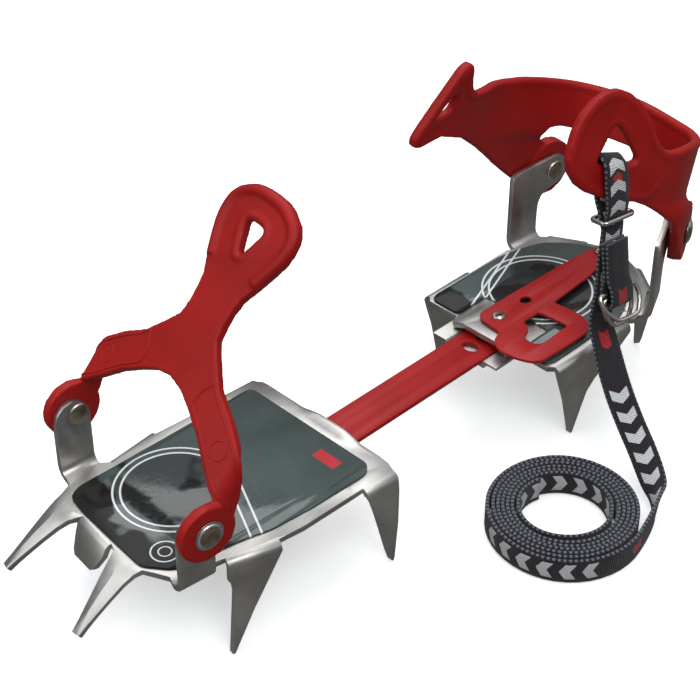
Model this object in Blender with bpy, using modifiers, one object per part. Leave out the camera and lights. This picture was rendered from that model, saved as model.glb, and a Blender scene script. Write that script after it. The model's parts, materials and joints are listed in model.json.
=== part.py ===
"""Strap-on walking crampon for a left boot, at rest, in metres.

The toe points along -X, the heel along +X, the outer side of the foot along -Y, and +Z is up.
Positions below are in millimetres in the maker's frame, which place() moves by FRAME_SHIFT.
"""

import math

import bmesh
import bpy
from mathutils import Matrix, Vector

MM = 0.001
FRAME_SHIFT = Vector((53.286, -12.444, 0.499))

# Sheet metal
PLATE_TOP = 48.0
STEEL = 3.0
BEND = 4.0
BEND_STEPS = 4
GAP = 0.3

# Anti-balling plates
COVER = 0.9
UNDER = 1.2
FRONT_SNAPS = ((-112.0, -26.0), (-112.0, 44.0), (-195.0, 19.0))
HEEL_SNAPS = ((70.0, 30.0), (78.0, -30.0))

# Linking bar
BAR_Y = 2.5
BAR_WIDTH = 22.0
BAR_THICK = 2.5
BAR_TOP = PLATE_TOP - STEEL - GAP
BAR_FRONT = -134.0
BAR_REAR = 64.0
BAR_HOLES = (3.6, 14.2, 24.8, 35.4, 46.0)
BAR_PIVOT = (-124.0, BAR_Y)
UNDER_TOP = 44.2
GUIDE_THICK = 1.6
GUIDE_RIVETS = ((50.0, -15.0), (50.0, 20.0))

# Locking lever
LOCK_HOLE = BAR_HOLES[2]
LEVER_RIVET = (107.5, BAR_Y)
LEVER_TOP = 52.9
LEVER_THICK = 1.5
LEVER_AXIS = (109.5, BAR_Y, LEVER_TOP - LEVER_THICK / 2)

# Toe hinge: the axis leans with the front of the foot
TOE_TURN = math.radians(6.5)
TOE_HINGE = Vector((-197.9, 19.1, 78.0))
TOE_POST_LINE = 43.3
TOE_BINDING_TILT = math.radians(50.0)
TOE_NECK = (46.0, 71.4)
TOE_BOSS = 14.0
TOE_FOLD_START = 49.4
TOE_FOLD_RADIUS = 7.0
TOE_CROWN = 0.0018

# Heel hinge: each post is turned to follow the heel, so its rivet leans from the hinge line
HEEL_CENTRE = Vector((112.5, 0.5, 84.0))
HEEL_BINDING_PITCH = math.radians(20.0)
HEEL_POST_WIDTH = 19.0
HEEL_RIVET = (30.5, 32.0)
HEEL_BOSS = 15.5
NEAR_POST_FOOT = (81.0, -43.5)
NEAR_POST_TURN = math.radians(26.0)
FAR_POST_FOOT = (82.1, 41.0)
FAR_POST_TURN = math.radians(-6.0)
PLASTIC = 4.6
BOSS_THICK = 7.0
NEAR_BOSS_GAP = 1.3
FAR_BOSS_GAP = 0.7
RIVET_PLAY = 0.5

RIVET_RADIUS = 3.4

# Webbing
STRAP_WIDTH = 14.4
STRAP_THICK = 2.0
ROLL_CENTRE = Vector((-26.9, -86.8, -0.499))
ROLL_OUTER = 38.6
ROLL_INNER = 20.7
STRAP_ACROSS = (0.985, -0.17, 0.0)
ON_EDGE = (0.15, -0.1, 1.0)
EAR_BAR = Vector((50.0, -39.4, 141.0))
EAR_UP = Vector((0.02, 0.2, 0.98))
KEEPER_WIRE = 1.4
D_WIRE = 1.2
D_RINGS = {
    "d_ring_a": (Vector((46.8, -52.15, 85.6)), 11.6, 15.0, math.radians(36.0)),
    "d_ring_b": (Vector((46.8, -52.55, 82.3)), 8.9, 15.5, math.radians(14.0)),
}

COLOURS = {
    "steel": ((0.62, 0.61, 0.60, 1.0), 1.0, 0.34),
    "rivet_steel": ((0.55, 0.53, 0.50, 1.0), 1.0, 0.28),
    "red_plastic": ((0.44, 0.012, 0.014, 1.0), 0.0, 0.42),
    "red_coating": ((0.42, 0.02, 0.03, 1.0), 0.0, 0.38),
    "black_plastic": ((0.018, 0.02, 0.022, 1.0), 0.0, 0.16),
    "webbing": ((0.012, 0.010, 0.014, 1.0), 0.0, 0.9),
}


def place(x, y, z):
    """A point of the maker's frame, in metres in the object's frame."""
    return (Vector((x, y, z)) + FRAME_SHIFT) * MM


TOE_ACROSS = Vector((math.sin(TOE_TURN), math.cos(TOE_TURN), 0.0))
TOE_BACK = Vector((math.cos(TOE_TURN), -math.sin(TOE_TURN), 0.0))
UP = Vector((0.0, 0.0, 1.0))


def clear_scene():
    for obj in list(bpy.data.objects):
        bpy.data.objects.remove(obj, do_unlink=True)


def make_collection(name):
    collection = bpy.data.collections.new(name)
    bpy.context.scene.collection.children.link(collection)
    return collection


def make_material(name):
    colour, metallic, roughness = COLOURS[name]
    material = bpy.data.materials.new(name)
    material.use_nodes = True
    shader = material.node_tree.nodes["Principled BSDF"]
    shader.inputs["Base Color"].default_value = colour
    shader.inputs["Metallic"].default_value = metallic
    shader.inputs["Roughness"].default_value = roughness
    material.diffuse_color = colour
    return material


def add_object(name, mesh, slot, origin=None):
    """Links a mesh whose points are in metres, and puts its origin on the given point."""
    obj = bpy.data.objects.new(name, mesh)
    mesh.materials.append(MATERIALS[slot])
    if origin is not None:
        mesh.transform(Matrix.Translation(-origin))
        obj.location = origin
    PARTS.objects.link(obj)
    return obj


def mesh_from(bm, name):
    bmesh.ops.remove_doubles(bm, verts=bm.verts, dist=0.00001)
    mesh = bpy.data.meshes.new(name)
    bm.to_mesh(mesh)
    bm.free()
    return mesh


def solidify(obj, thick, offset=-1.0, even=True):
    shell = obj.modifiers.new("Thickness", "SOLIDIFY")
    shell.thickness = thick * MM
    shell.offset = offset
    shell.use_even_offset = even
    return shell


def round_corners(points, radius, steps=3):
    """The closed outline with each corner cut by an arc, or by less where a side is short."""
    result = []
    count = len(points)
    for index, point in enumerate(points):
        before = Vector(points[index - 1]) - Vector(point)
        after = Vector(points[(index + 1) % count]) - Vector(point)
        cut = min(radius, 0.45 * before.length, 0.45 * after.length)
        start = Vector(point) + before.normalized() * cut
        end = Vector(point) + after.normalized() * cut
        for step in range(steps + 1):
            t = step / steps
            bend = start * (1 - t) ** 2 + Vector(point) * 2 * t * (1 - t) + end * t**2
            result.append((bend.x, bend.y))
    return result


def circle(x, y, radius, steps=16):
    turn = 2 * math.pi / steps
    return [(x + radius * math.cos(k * turn), y + radius * math.sin(k * turn)) for k in range(steps)]


def filled_mesh(name, loops):
    """A flat mesh inside the first loop and outside the others, from a filled 2D curve."""
    curve = bpy.data.curves.new(name, "CURVE")
    curve.dimensions = "2D"
    curve.fill_mode = "BOTH"
    for loop in loops:
        spline = curve.splines.new("POLY")
        spline.points.add(len(loop) - 1)
        for point, (x, y) in zip(spline.points, loop):
            point.co = (x * MM, y * MM, 0.0, 1.0)
        spline.use_cyclic_u = True
    guide = bpy.data.objects.new(name, curve)
    bpy.context.scene.collection.objects.link(guide)
    graph = bpy.context.evaluated_depsgraph_get()
    mesh = bpy.data.meshes.new_from_object(guide.evaluated_get(graph))
    bpy.data.objects.remove(guide, do_unlink=True)
    bm = bmesh.new()
    bm.from_mesh(mesh)
    bmesh.ops.remove_doubles(bm, verts=bm.verts, dist=0.00001)
    flipped = [face for face in bm.faces if face.normal.z < 0]
    bmesh.ops.reverse_faces(bm, faces=flipped)
    bm.to_mesh(mesh)
    bm.free()
    return mesh


def flat_plate(name, slot, loops, top, thick, origin=None):
    """A flat sheet with holes, its upper face at height top."""
    mesh = filled_mesh(name, loops)
    mesh.transform(Matrix.Translation(place(0.0, 0.0, top)))
    obj = add_object(name, mesh, slot, origin)
    solidify(obj, thick)
    return obj


def turned(name, slot, profile, centre, axis, origin=None, steps=24):
    """A turned piece: profile holds (radius, height along the axis) from the top down."""
    bm = bmesh.new()
    turn = Vector(axis).to_track_quat("Z", "Y").to_matrix().to_4x4()
    frame = Matrix.Translation(place(*centre)) @ turn
    rings = []
    for radius, height in profile:
        if radius < 1e-6:
            rings.append([bm.verts.new(frame @ Vector((0.0, 0.0, height * MM)))])
            continue
        ring = []
        for x, y in circle(0.0, 0.0, radius, steps):
            ring.append(bm.verts.new(frame @ (Vector((x, y, height)) * MM)))
        rings.append(ring)
    for upper, lower in zip(rings, rings[1:]):
        for k in range(steps):
            n = (k + 1) % steps
            corners = [upper[k % len(upper)], lower[k % len(lower)]]
            corners += [lower[n % len(lower)], upper[n % len(upper)]]
            bm.faces.new(list(dict.fromkeys(corners)))
    closed = profile[0][0] > 1e-6
    if closed:
        for k in range(steps):
            n = (k + 1) % steps
            bm.faces.new([rings[-1][k], rings[0][k], rings[0][n], rings[-1][n]])
    bmesh.ops.recalc_face_normals(bm, faces=bm.faces)
    return add_object(name, mesh_from(bm, name), slot, origin)


def wire_ring(name, slot, points, radius, origin=None):
    """A closed wire along the points, in metres."""
    curve = bpy.data.curves.new(name, "CURVE")
    curve.dimensions = "3D"
    curve.bevel_depth = radius * MM
    curve.bevel_resolution = 2
    curve.use_fill_caps = True
    spline = curve.splines.new("POLY")
    spline.points.add(len(points) - 1)
    for point, co in zip(spline.points, points):
        point.co = (co.x, co.y, co.z, 1.0)
    spline.use_cyclic_u = True
    guide = bpy.data.objects.new(name, curve)
    bpy.context.scene.collection.objects.link(guide)
    graph = bpy.context.evaluated_depsgraph_get()
    mesh = bpy.data.meshes.new_from_object(guide.evaluated_get(graph))
    bpy.data.objects.remove(guide, do_unlink=True)
    mesh.materials.clear()
    return add_object(name, mesh, slot, origin)


class Sheet:
    """A sheet-metal part made from its upper face; the faces meet where their corners do."""

    def __init__(self):
        self.bm = bmesh.new()

    def face(self, points):
        self.bm.faces.new([self.bm.verts.new(place(*point)) for point in points])

    def strip(self, rows):
        """Quads between rows of points that have the same length."""
        for upper, lower in zip(rows, rows[1:]):
            for k in range(len(upper) - 1):
                self.face([upper[k], upper[k + 1], lower[k + 1], lower[k]])

    def flange(self, start, end, angle, outline):
        """Bends the edge from start to end down by angle and ends it with outline in (along, beyond)."""
        a, b = Vector((*start, PLATE_TOP)), Vector((*end, PLATE_TOP))
        along = (b - a).normalized()
        out = along.cross(UP)
        sign = math.copysign(1.0, angle)
        rows = []
        for step in range(BEND_STEPS + 1):
            turn = abs(angle) * step / BEND_STEPS
            shift = (out * math.sin(turn) - UP * sign * (1 - math.cos(turn))) * BEND
            rows.append([a + shift, b + shift])
        self.strip(rows)
        down = out * math.cos(angle) - UP * math.sin(angle)
        a, b = rows[-1]
        self.face([b, a] + [a + along * s + down * d for s, d in outline])

    def finish(self, name, slot, origin=None):
        bmesh.ops.remove_doubles(self.bm, verts=self.bm.verts, dist=0.00001)
        bmesh.ops.recalc_face_normals(self.bm, faces=self.bm.faces)
        largest = max(self.bm.faces, key=lambda face: face.calc_area())
        if largest.normal.z < 0:
            bmesh.ops.reverse_faces(self.bm, faces=self.bm.faces)
        obj = add_object(name, mesh_from(self.bm, name), slot, origin)
        solidify(obj, STEEL)
        return obj


def raised_patch(sheet, xs, ys, rise):
    """A stamped hump over a grid, rising by rise(x, y) above the plate."""
    sheet.strip([[(x, y, PLATE_TOP + rise(x, y)) for y in ys] for x in xs])


def smooth(t):
    t = min(1.0, max(0.0, t))
    return t * t * (3 - 2 * t)


def add_cutter(name, mesh):
    obj = bpy.data.objects.new(name, mesh)
    obj.hide_render = True
    obj.display_type = "WIRE"
    CUTTERS.objects.link(obj)
    return obj


def cylinders(name, places, steps=24):
    """Closed cylinders, each given as (centre, axis, radius, half length) in the maker's frame."""
    bm = bmesh.new()
    for centre, axis, radius, half in places:
        turn = Vector(axis).to_track_quat("Z", "Y").to_matrix().to_4x4()
        bmesh.ops.create_cone(
            bm,
            cap_ends=True,
            segments=steps,
            radius1=radius * MM,
            radius2=radius * MM,
            depth=2 * half * MM,
            matrix=Matrix.Translation(place(*centre)) @ turn,
        )
    return add_cutter(name, mesh_from(bm, name))


def boolean(obj, cutter, operation):
    cut = obj.modifiers.new(operation.title(), "BOOLEAN")
    cut.operation = operation
    cut.solver = "EXACT"
    cut.object = cutter


def post_frame(foot, turn, side):
    """Foot, direction towards the heel and outward normal of a heel post on side -1 (near) or 1 (far)."""
    along = Vector((math.cos(turn), math.sin(turn), 0.0))
    out = Vector((-math.sin(turn), math.cos(turn), 0.0)) * side
    return Vector((*foot, 0.0)), along, out


HEEL_POSTS = {
    "near": post_frame(NEAR_POST_FOOT, NEAR_POST_TURN, -1),
    "far": post_frame(FAR_POST_FOOT, FAR_POST_TURN, 1),
}


def heel_rivet_centre(side):
    """The middle of the steel post on the rivet's axis."""
    foot, along, out = HEEL_POSTS[side]
    height = PLATE_TOP + BEND + HEEL_RIVET[1]
    return foot + along * HEEL_RIVET[0] + out * (BEND + STEEL / 2) + UP * height


def mirrored(outline, width):
    return [(width - s, d) for s, d in reversed(outline)]


# Front plate

FRONT_POINT = [(-0.5, 7.0), (0.8, 8.5), (1.2, 13.0), (-3.6, 44.7), (-2.9, 45.3), (-2.0, 44.8), (9.6, 25.0),
               (18.4, 11.6), (24.0, 3.0)]
CLAW_POINT = [(1.0, 1.5), (2.5, 5.0), (4.4, 12.0), (7.3, 25.0), (9.9, 37.0), (11.7, 43.5), (12.6, 44.5),
              (13.6, 43.0), (17.2, 24.0), (19.0, 6.0)]
TOE_POST = [(0.0, 24.0), (1.2, 28.6), (4.6, 32.2), (8.9, 33.6), (13.2, 32.2), (16.6, 28.6), (17.9, 24.0)]


def front_point_rows(root, tip, width):
    """Rows from the root of a forward point to its chiselled tip, with a stamped rib along it."""
    root, tip = Vector(root), Vector(tip)
    across = UP.cross(tip - root).normalized()
    rows = []
    for t, part, drop, rib in ((0.0, 1.0, 0.0, 0.0), (0.12, 0.84, 0.05, 0.5), (0.28, 0.7, 0.19, 1.5),
                               (0.5, 0.54, 0.43, 1.6), (0.72, 0.39, 0.68, 1.3), (0.87, 0.29, 0.85, 0.4),
                               (1.0, 0.24, 1.0, 0.0)):
        centre = root.lerp(tip, t)
        height = PLATE_TOP + (tip.z - root.z) * drop
        row = []
        for offset, lift in ((-0.5, 0.0), (-0.2, 0.35), (0.0, 1.0), (0.2, 0.35), (0.5, 0.0)):
            spot = centre + across * offset * width * part
            row.append((spot.x, spot.y, height + rib * lift))
        rows.append(row)
    return rows


def front_plate():
    sheet = Sheet()
    near_tip = front_point_rows((-219.0, 2.4, PLATE_TOP), (-251.3, 1.4, 26.5), 18.5)
    far_tip = front_point_rows((-215.6, 48.2, PLATE_TOP), (-247.5, 56.8, 26.5), 18.0)
    slot_ys = [-16.0, -13.0, -9.0, -4.0, 4.5, 13.0, 18.0, 22.0, 25.0]
    slot_xs = [-92.5, -94.5, -97.0, -99.5]
    across = TOE_ACROSS.to_2d()
    middle = TOE_HINGE.to_2d()
    back = TOE_BACK.to_2d()
    near_line = [middle - across * TOE_POST_LINE + back * s for s in (-12.0, 5.9)]
    far_line = [middle + across * TOE_POST_LINE + back * s for s in (5.9, -12.0)]
    outline = [(-95.0, -38.0), (-93.0, -33.0), (-92.5, -27.0)]
    outline += [(slot_xs[0], slot_ys[0])] + [(x, slot_ys[0]) for x in slot_xs[1:]]
    outline += [(slot_xs[-1], y) for y in slot_ys[1:]]
    outline += [(x, slot_ys[-1]) for x in reversed(slot_xs[:-1])]
    outline += [(-92.5, 49.0), (-93.0, 52.5), (-95.0, 55.0), (-114.0, 56.2), (-137.0, 57.8), (-155.5, 59.2)]
    outline += [(-182.0, 57.0)] + [tuple(p) for p in far_line] + [(-206.5, 59.5), (-211.5, 57.5)]
    outline += [(x, y) for x, y, z in far_tip[0]]
    outline += [(-215.0, 38.2), (-217.6, 15.5)]
    outline += [(x, y) for x, y, z in near_tip[0]]
    outline += [(-216.0, -12.0), (-213.0, -18.5)] + [tuple(p) for p in near_line]
    outline += [(-188.5, -26.6), (-163.7, -34.4), (-150.0, -36.2), (-120.0, -37.0), (-114.0, -37.2)]
    sheet.face([(x, y, PLATE_TOP) for x, y in outline])
    raised_patch(
        sheet,
        slot_xs,
        slot_ys,
        lambda x, y: 2.6 * smooth((x + 99.5) / 6.0) * smooth(1.6 - abs(y - 4.5) / 13.0),
    )
    sheet.strip(near_tip)
    sheet.strip(far_tip)
    sheet.flange((-188.5, -26.6), (-163.7, -34.4), math.radians(80.4), FRONT_POINT)
    sheet.flange((-155.5, 59.2), (-182.0, 57.0), math.radians(80.4), mirrored(FRONT_POINT, 26.6))
    sheet.flange((-114.0, -37.2), (-95.0, -38.0), math.radians(85.0), CLAW_POINT)
    sheet.flange((-95.0, 55.0), (-114.0, 56.2), math.radians(85.0), mirrored(CLAW_POINT, 19.0))
    sheet.flange(near_line[0], near_line[1], math.radians(-90.0), TOE_POST)
    sheet.flange(far_line[0], far_line[1], math.radians(-90.0), mirrored(TOE_POST, 17.9))
    tab = [(1.0, 4.0), (3.6, 11.0), (5.6, 13.2), (18.2, 13.2), (20.2, 11.0), (22.9, 4.0)]
    sheet.flange((-215.0, 38.2), (-217.6, 15.5), math.radians(62.0), tab)
    obj = sheet.finish("front_plate", "steel")
    holes = [((*BAR_PIVOT, PLATE_TOP), UP, 3.0, 6.0)]
    holes += [((x, y, PLATE_TOP), UP, 2.4, 6.0) for x, y in FRONT_SNAPS]
    boolean(obj, cylinders("front_plate_holes", holes), "DIFFERENCE")
    bore = [(TOE_HINGE + TOE_ACROSS * side * 49.0, TOE_ACROSS, RIVET_RADIUS + 0.05, 8.0) for side in (-1, 1)]
    boolean(obj, cylinders("toe_bores", bore), "DIFFERENCE")


def front_cover():
    outline = [(-101.0, 50.8), (-101.0, -27.6), (-106.0, -31.6), (-140.0, -31.0), (-161.7, -28.6),
               (-177.5, -23.6), (-194.0, -20.4), (-203.0, -19.6), (-210.0, -16.2), (-218.4, -5.0),
               (-216.9, 13.0), (-214.3, 40.0), (-212.0, 51.5), (-205.0, 54.4), (-184.0, 53.6), (-160.0, 53.0),
               (-135.0, 52.4), (-106.0, 52.4)]
    loops = [round_corners(outline, 3.0)]
    flat_plate("front_cover", "black_plastic", loops, PLATE_TOP + GAP + COVER, COVER)


def front_under_plate():
    outline = [(-96.0, 50.0), (-96.0, 19.0), (-140.0, 19.0), (-140.0, -13.0), (-96.0, -13.0), (-96.0, -30.0),
               (-120.0, -32.5), (-150.0, -32.0), (-163.0, -30.0), (-186.0, -22.4), (-198.0, -17.5),
               (-213.0, -12.5), (-216.5, -5.0), (-211.0, 52.0), (-184.0, 52.5), (-150.0, 53.5)]
    loops = [round_corners(outline, 4.0)] + [circle(x, y, 2.3) for x, y in FRONT_SNAPS]
    flat_plate("front_under_plate", "black_plastic", loops, UNDER_TOP, UNDER)


def snap_pin(name, x, y, top, foot):
    """A plastic stud through the steel, with its button below the lower sheet."""
    profile = [(0.0, top), (1.9, top), (2.1, top - 0.4), (2.1, foot), (4.0, foot), (4.0, foot - 0.9),
               (3.2, foot - 1.5), (0.0, foot - 1.5)]
    return turned(name, "black_plastic", [(r, z) for r, z in profile], (x, y, 0.0), UP, steps=16)


def bar_pivot_rivet():
    low = BAR_TOP - BAR_THICK - GAP
    profile = [(0.0, PLATE_TOP), (2.9, PLATE_TOP), (2.9, low), (5.6, low), (5.2, low - 1.2), (0.0, low - 1.5)]
    turned("bar_pivot_rivet", "rivet_steel", profile, (*BAR_PIVOT, 0.0), UP)


def oval(x, y, half_x, half_y, steps=20):
    turn = 2 * math.pi / steps
    return [(x + half_x * math.cos(k * turn), y + half_y * math.sin(k * turn)) for k in range(steps)]


def linking_bar():
    half = BAR_WIDTH / 2
    outline = [(BAR_FRONT, BAR_Y - half + 3), (BAR_FRONT + 3, BAR_Y - half), (BAR_REAR - 3, BAR_Y - half),
               (BAR_REAR, BAR_Y - half + 3), (BAR_REAR, BAR_Y + half - 3), (BAR_REAR - 3, BAR_Y + half),
               (BAR_FRONT + 3, BAR_Y + half), (BAR_FRONT, BAR_Y + half - 3)]
    loops = [outline, oval(*BAR_PIVOT, 3.0, 3.0, 24)] + [oval(x, BAR_Y, 3.5, 4.7) for x in BAR_HOLES]
    origin = place(*BAR_PIVOT, BAR_TOP)
    flat_plate("linking_bar", "red_coating", loops, BAR_TOP, BAR_THICK, origin)


# Heel plate

HEEL_SKIRT = [(2.0, 6.0), (7.0, 20.0), (11.2, 36.0), (12.9, 43.6), (13.6, 44.0), (14.6, 43.0), (19.5, 31.0),
              (23.5, 22.0), (29.0, 17.0), (40.0, 11.5), (50.0, 5.5), (56.0, 1.5)]
HEEL_POINT = [(1.0, 5.0), (8.0, 21.0), (16.0, 38.0), (19.6, 43.6), (20.6, 44.0), (21.6, 43.0), (23.0, 30.0),
              (23.8, 5.0)]
REAR_POINT_SCALE = 21.1 / 24.4
HUMP = (9.0, 36.0, -17.5, 20.0)


def heel_plate():
    sheet = Sheet()
    x0, x1, y0, y1 = HUMP
    xs = [x0, x0 + 4, 15.0, 20.0, 26.0, 31.0, x1]
    ys = [y0, y0 + 3, y0 + 7, -4.0, 2.0, 8.0, y1 - 7, y1 - 3, y1]
    near_foot, near_along, near_out = HEEL_POSTS["near"]
    far_foot, far_along, far_out = HEEL_POSTS["far"]
    near_line = [near_foot.to_2d(), (near_foot + near_along * HEEL_POST_WIDTH).to_2d()]
    far_line = [(far_foot + far_along * HEEL_POST_WIDTH).to_2d(), far_foot.to_2d()]
    outline = [(14.5, -38.5), (17.0, -41.0), (73.0, -41.3), (77.0, -44.0)]
    outline += [tuple(p) for p in near_line]
    outline += [(101.5, -33.5), (114.0, -16.5), (117.3, -8.0), (118.0, 0.5), (117.3, 9.0), (114.0, 17.5)]
    outline += [(104.0, 36.0)] + [tuple(p) for p in far_line] + [(78.0, 43.3), (48.0, 43.0), (17.0, 43.0)]
    outline += [(14.5, 40.5), (x0 + 5.5, y1 + 2.0)]
    outline += [(x, y1) for x in xs] + [(x1, y) for y in reversed(ys[1:-1])] + [(x, y0) for x in reversed(xs)]
    outline += [(x0 + 5.5, y0 - 2.0)]
    sheet.face([(x, y, PLATE_TOP) for x, y in outline])
    raised_patch(
        sheet,
        xs,
        ys,
        lambda x, y: 3.0 * smooth((x1 - x) / 8.0) * smooth((min(y - y0, y1 - y)) / 6.0),
    )
    sheet.flange((17.0, -41.0), (73.0, -41.3), math.radians(90.0), HEEL_SKIRT)
    far_skirt = mirrored(HEEL_SKIRT[:8] + [(28.0, 12.0)], 31.0)
    sheet.flange((48.0, 43.0), (17.0, 43.0), math.radians(88.0), far_skirt)
    near_point = [(s * REAR_POINT_SCALE, d) for s, d in HEEL_POINT]
    sheet.flange((101.5, -33.5), (114.0, -16.5), math.radians(88.0), near_point)
    sheet.flange((114.0, 17.5), (104.0, 36.0), math.radians(88.0), mirrored(near_point, 21.1))
    post = [(0.0, 36.0), (1.2, 38.6), (4.0, 39.6)]
    rise = [(HEEL_RIVET[0] + 9.0 * math.cos(t), HEEL_RIVET[1] + 9.0 * math.sin(t))
            for t in (math.radians(a) for a in (85, 60, 35, 10, -15, -40, -65, -90))]
    post += rise + [(25.0, 21.6), (21.5, 19.5), (19.6, 16.0), (19.0, 11.0)]
    sheet.flange(near_line[0], near_line[1], math.radians(-90.0), post)
    sheet.flange(far_line[0], far_line[1], math.radians(-90.0), mirrored(post, 19.0))
    obj = sheet.finish("heel_plate", "steel")
    holes = [((x, y, PLATE_TOP), UP, 2.4, 6.0) for x, y in HEEL_SNAPS + GUIDE_RIVETS]
    holes += [((*LEVER_RIVET, PLATE_TOP), UP, 2.6, 6.0), ((LOCK_HOLE, BAR_Y, PLATE_TOP), UP, 3.4, 6.0)]
    boolean(obj, cylinders("heel_plate_holes", holes), "DIFFERENCE")
    bores = []
    for side in ("near", "far"):
        bores.append((heel_rivet_centre(side), HEEL_POSTS[side][2], RIVET_RADIUS + 0.05, 4.0))
    boolean(obj, cylinders("heel_post_bores", bores), "DIFFERENCE")


def heel_cover():
    outline = [(15.5, 39.8), (15.5, 22.5), (37.5, 22.5), (37.5, -20.0), (15.5, -20.0), (15.5, -36.5),
               (19.0, -39.0), (70.0, -38.5), (79.0, -36.0), (99.0, -25.0), (112.0, -11.0), (113.6, 0.0),
               (112.0, 12.0), (105.5, 24.0), (96.0, 33.5), (82.0, 38.6), (70.0, 41.0), (20.0, 41.4)]
    loops = [round_corners(outline, 3.0), circle(*LEVER_RIVET, 3.0)]
    flat_plate("heel_cover", "black_plastic", loops, PLATE_TOP + GAP + COVER, COVER)


def heel_under_plate():
    outline = [(66.0, 36.0), (66.0, 15.5), (88.0, 15.5), (88.0, -10.5), (66.0, -10.5), (66.0, -34.0),
               (78.0, -35.0), (98.0, -27.0), (112.0, -11.0), (115.5, 0.5), (112.0, 12.0), (101.0, 27.0), (84.0, 35.0)]
    loops = [round_corners(outline, 4.0), circle(*LEVER_RIVET, 4.8)]
    loops += [circle(x, y, 2.3) for x, y in HEEL_SNAPS]
    flat_plate("heel_under_plate", "black_plastic", loops, UNDER_TOP, UNDER)


def bar_guide():
    """The steel channel under the heel plate that the bar slides in."""
    bm = bmesh.new()
    half = BAR_WIDTH / 2 + GAP
    low = BAR_TOP - BAR_THICK - GAP
    side = [(half, low), (half, 43.2), (half + 1.5, 44.7), (half + 10.0, 44.7)]
    profile = [(-y, z) for y, z in reversed(side)] + side
    rows = []
    for x in (-1.0, 60.0):
        rows.append([bm.verts.new(place(x, BAR_Y + y, z)) for y, z in profile])
    for k in range(len(profile) - 1):
        bm.faces.new([rows[0][k], rows[0][k + 1], rows[1][k + 1], rows[1][k]])
    bmesh.ops.recalc_face_normals(bm, faces=bm.faces)
    bm.faces.ensure_lookup_table()
    if bm.faces[0].normal.z < 0:
        bmesh.ops.reverse_faces(bm, faces=bm.faces)
    obj = add_object("bar_guide", mesh_from(bm, "bar_guide"), "steel")
    solidify(obj, GUIDE_THICK)
    holes = [((x, y, 44.0), UP, 2.4, 3.0) for x, y in GUIDE_RIVETS]
    boolean(obj, cylinders("bar_guide_holes", holes), "DIFFERENCE")


def guide_rivets():
    low = 44.7 - GUIDE_THICK - 0.05
    profile = [(0.0, PLATE_TOP), (2.3, PLATE_TOP), (2.3, low), (3.8, low), (3.4, low - 1.1), (0.0, low - 1.4)]
    for number, (x, y) in enumerate(GUIDE_RIVETS, 1):
        turned(f"guide_rivet_{number}", "rivet_steel", profile, (x, y, 0.0), UP, steps=20)


def lock_lever():
    outline = [(19.3, 11.0), (16.2, 6.8), (15.0, -6.4), (6.5, -9.8), (3.0, -16.8), (4.3, -26.2),
               (7.1, -33.6), (11.9, -37.2), (28.8, -37.9), (46.3, -37.8), (52.6, -33.3), (54.8, -27.0),
               (54.4, -16.8), (53.5, -9.6), (59.4, -9.3), (85.3, -7.4), (110.6, -2.6), (112.0, 2.5),
               (110.6, 7.4), (80.5, 9.5), (64.5, 9.8), (42.5, 10.8)]
    window = [(30.0, -9.0), (41.8, -9.6), (43.3, -27.6), (22.4, -28.4), (18.8, -24.8), (19.8, -18.2),
              (26.0, -16.2), (27.6, -14.2)]
    loops = [round_corners(outline, 2.5), round_corners(window, 2.0), oval(45.0, 2.0, 3.4, 2.8)]
    loops.append(circle(*LEVER_RIVET, 3.4))
    loops.append(circle(LOCK_HOLE, BAR_Y, 2.05))
    flat_plate("lock_lever", "red_coating", loops, LEVER_TOP, LEVER_THICK, place(*LEVER_AXIS))


def lock_pin():
    """The pin under the lever. Its tip stops just above the bar, so that the bar can slide."""
    low = BAR_TOP + GAP
    under = LEVER_TOP - LEVER_THICK - 0.3
    profile = [(0.0, LEVER_TOP + 0.9), (3.0, LEVER_TOP + 0.7), (3.6, LEVER_TOP + 0.05),
               (2.0, LEVER_TOP + 0.05), (2.0, under), (2.6, under), (2.6, low + 0.8), (2.0, low), (0.0, low)]
    turned("lock_pin", "rivet_steel", profile, (LOCK_HOLE, BAR_Y, 0.0), UP, place(*LEVER_AXIS), 20)


def lever_rivet():
    top = LEVER_TOP + 0.8
    profile = [(0.0, top + 1.3), (2.6, top + 1.0), (3.9, top), (2.4, top), (2.4, 44.75), (4.2, 44.7),
               (3.8, 43.6), (0.0, 43.4)]
    turned("lever_rivet", "rivet_steel", profile, (*LEVER_RIVET, 0.0), UP, steps=20)
    ring = [(4.6, LEVER_TOP - LEVER_THICK - 0.9), (4.6, PLATE_TOP + GAP + COVER + 0.05),
            (2.6, PLATE_TOP + GAP + COVER + 0.05), (2.6, LEVER_TOP - LEVER_THICK - 0.9)]
    turned("lever_spacer", "rivet_steel", ring, (*LEVER_RIVET, 0.0), UP, steps=20)


# Bindings

def mapped_sheet(name, slot, loops, cuts, mapping, thick, offset, origin):
    """A moulded sheet: the flat pattern is cut into strips, each point is mapped, and it is thickened."""
    mesh = filled_mesh(name, loops)
    bm = bmesh.new()
    bm.from_mesh(mesh)
    for axis, values in cuts:
        for value in values:
            geom = bm.verts[:] + bm.edges[:] + bm.faces[:]
            normal = (1.0, 0.0, 0.0) if axis == 0 else (0.0, 1.0, 0.0)
            spot = [0.0, 0.0, 0.0]
            spot[axis] = value * MM
            bmesh.ops.bisect_plane(bm, geom=geom, plane_co=spot, plane_no=normal, dist=1e-7)
    bmesh.ops.remove_doubles(bm, verts=bm.verts, dist=0.00005)
    bmesh.ops.triangulate(bm, faces=bm.faces)
    for vert in bm.verts:
        vert.co = place(*mapping(vert.co.x / MM, vert.co.y / MM))
    bmesh.ops.recalc_face_normals(bm, faces=bm.faces)
    obj = add_object(name, mesh_from(bm, name), slot, origin)
    solidify(obj, thick, offset, False)
    return obj


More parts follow.
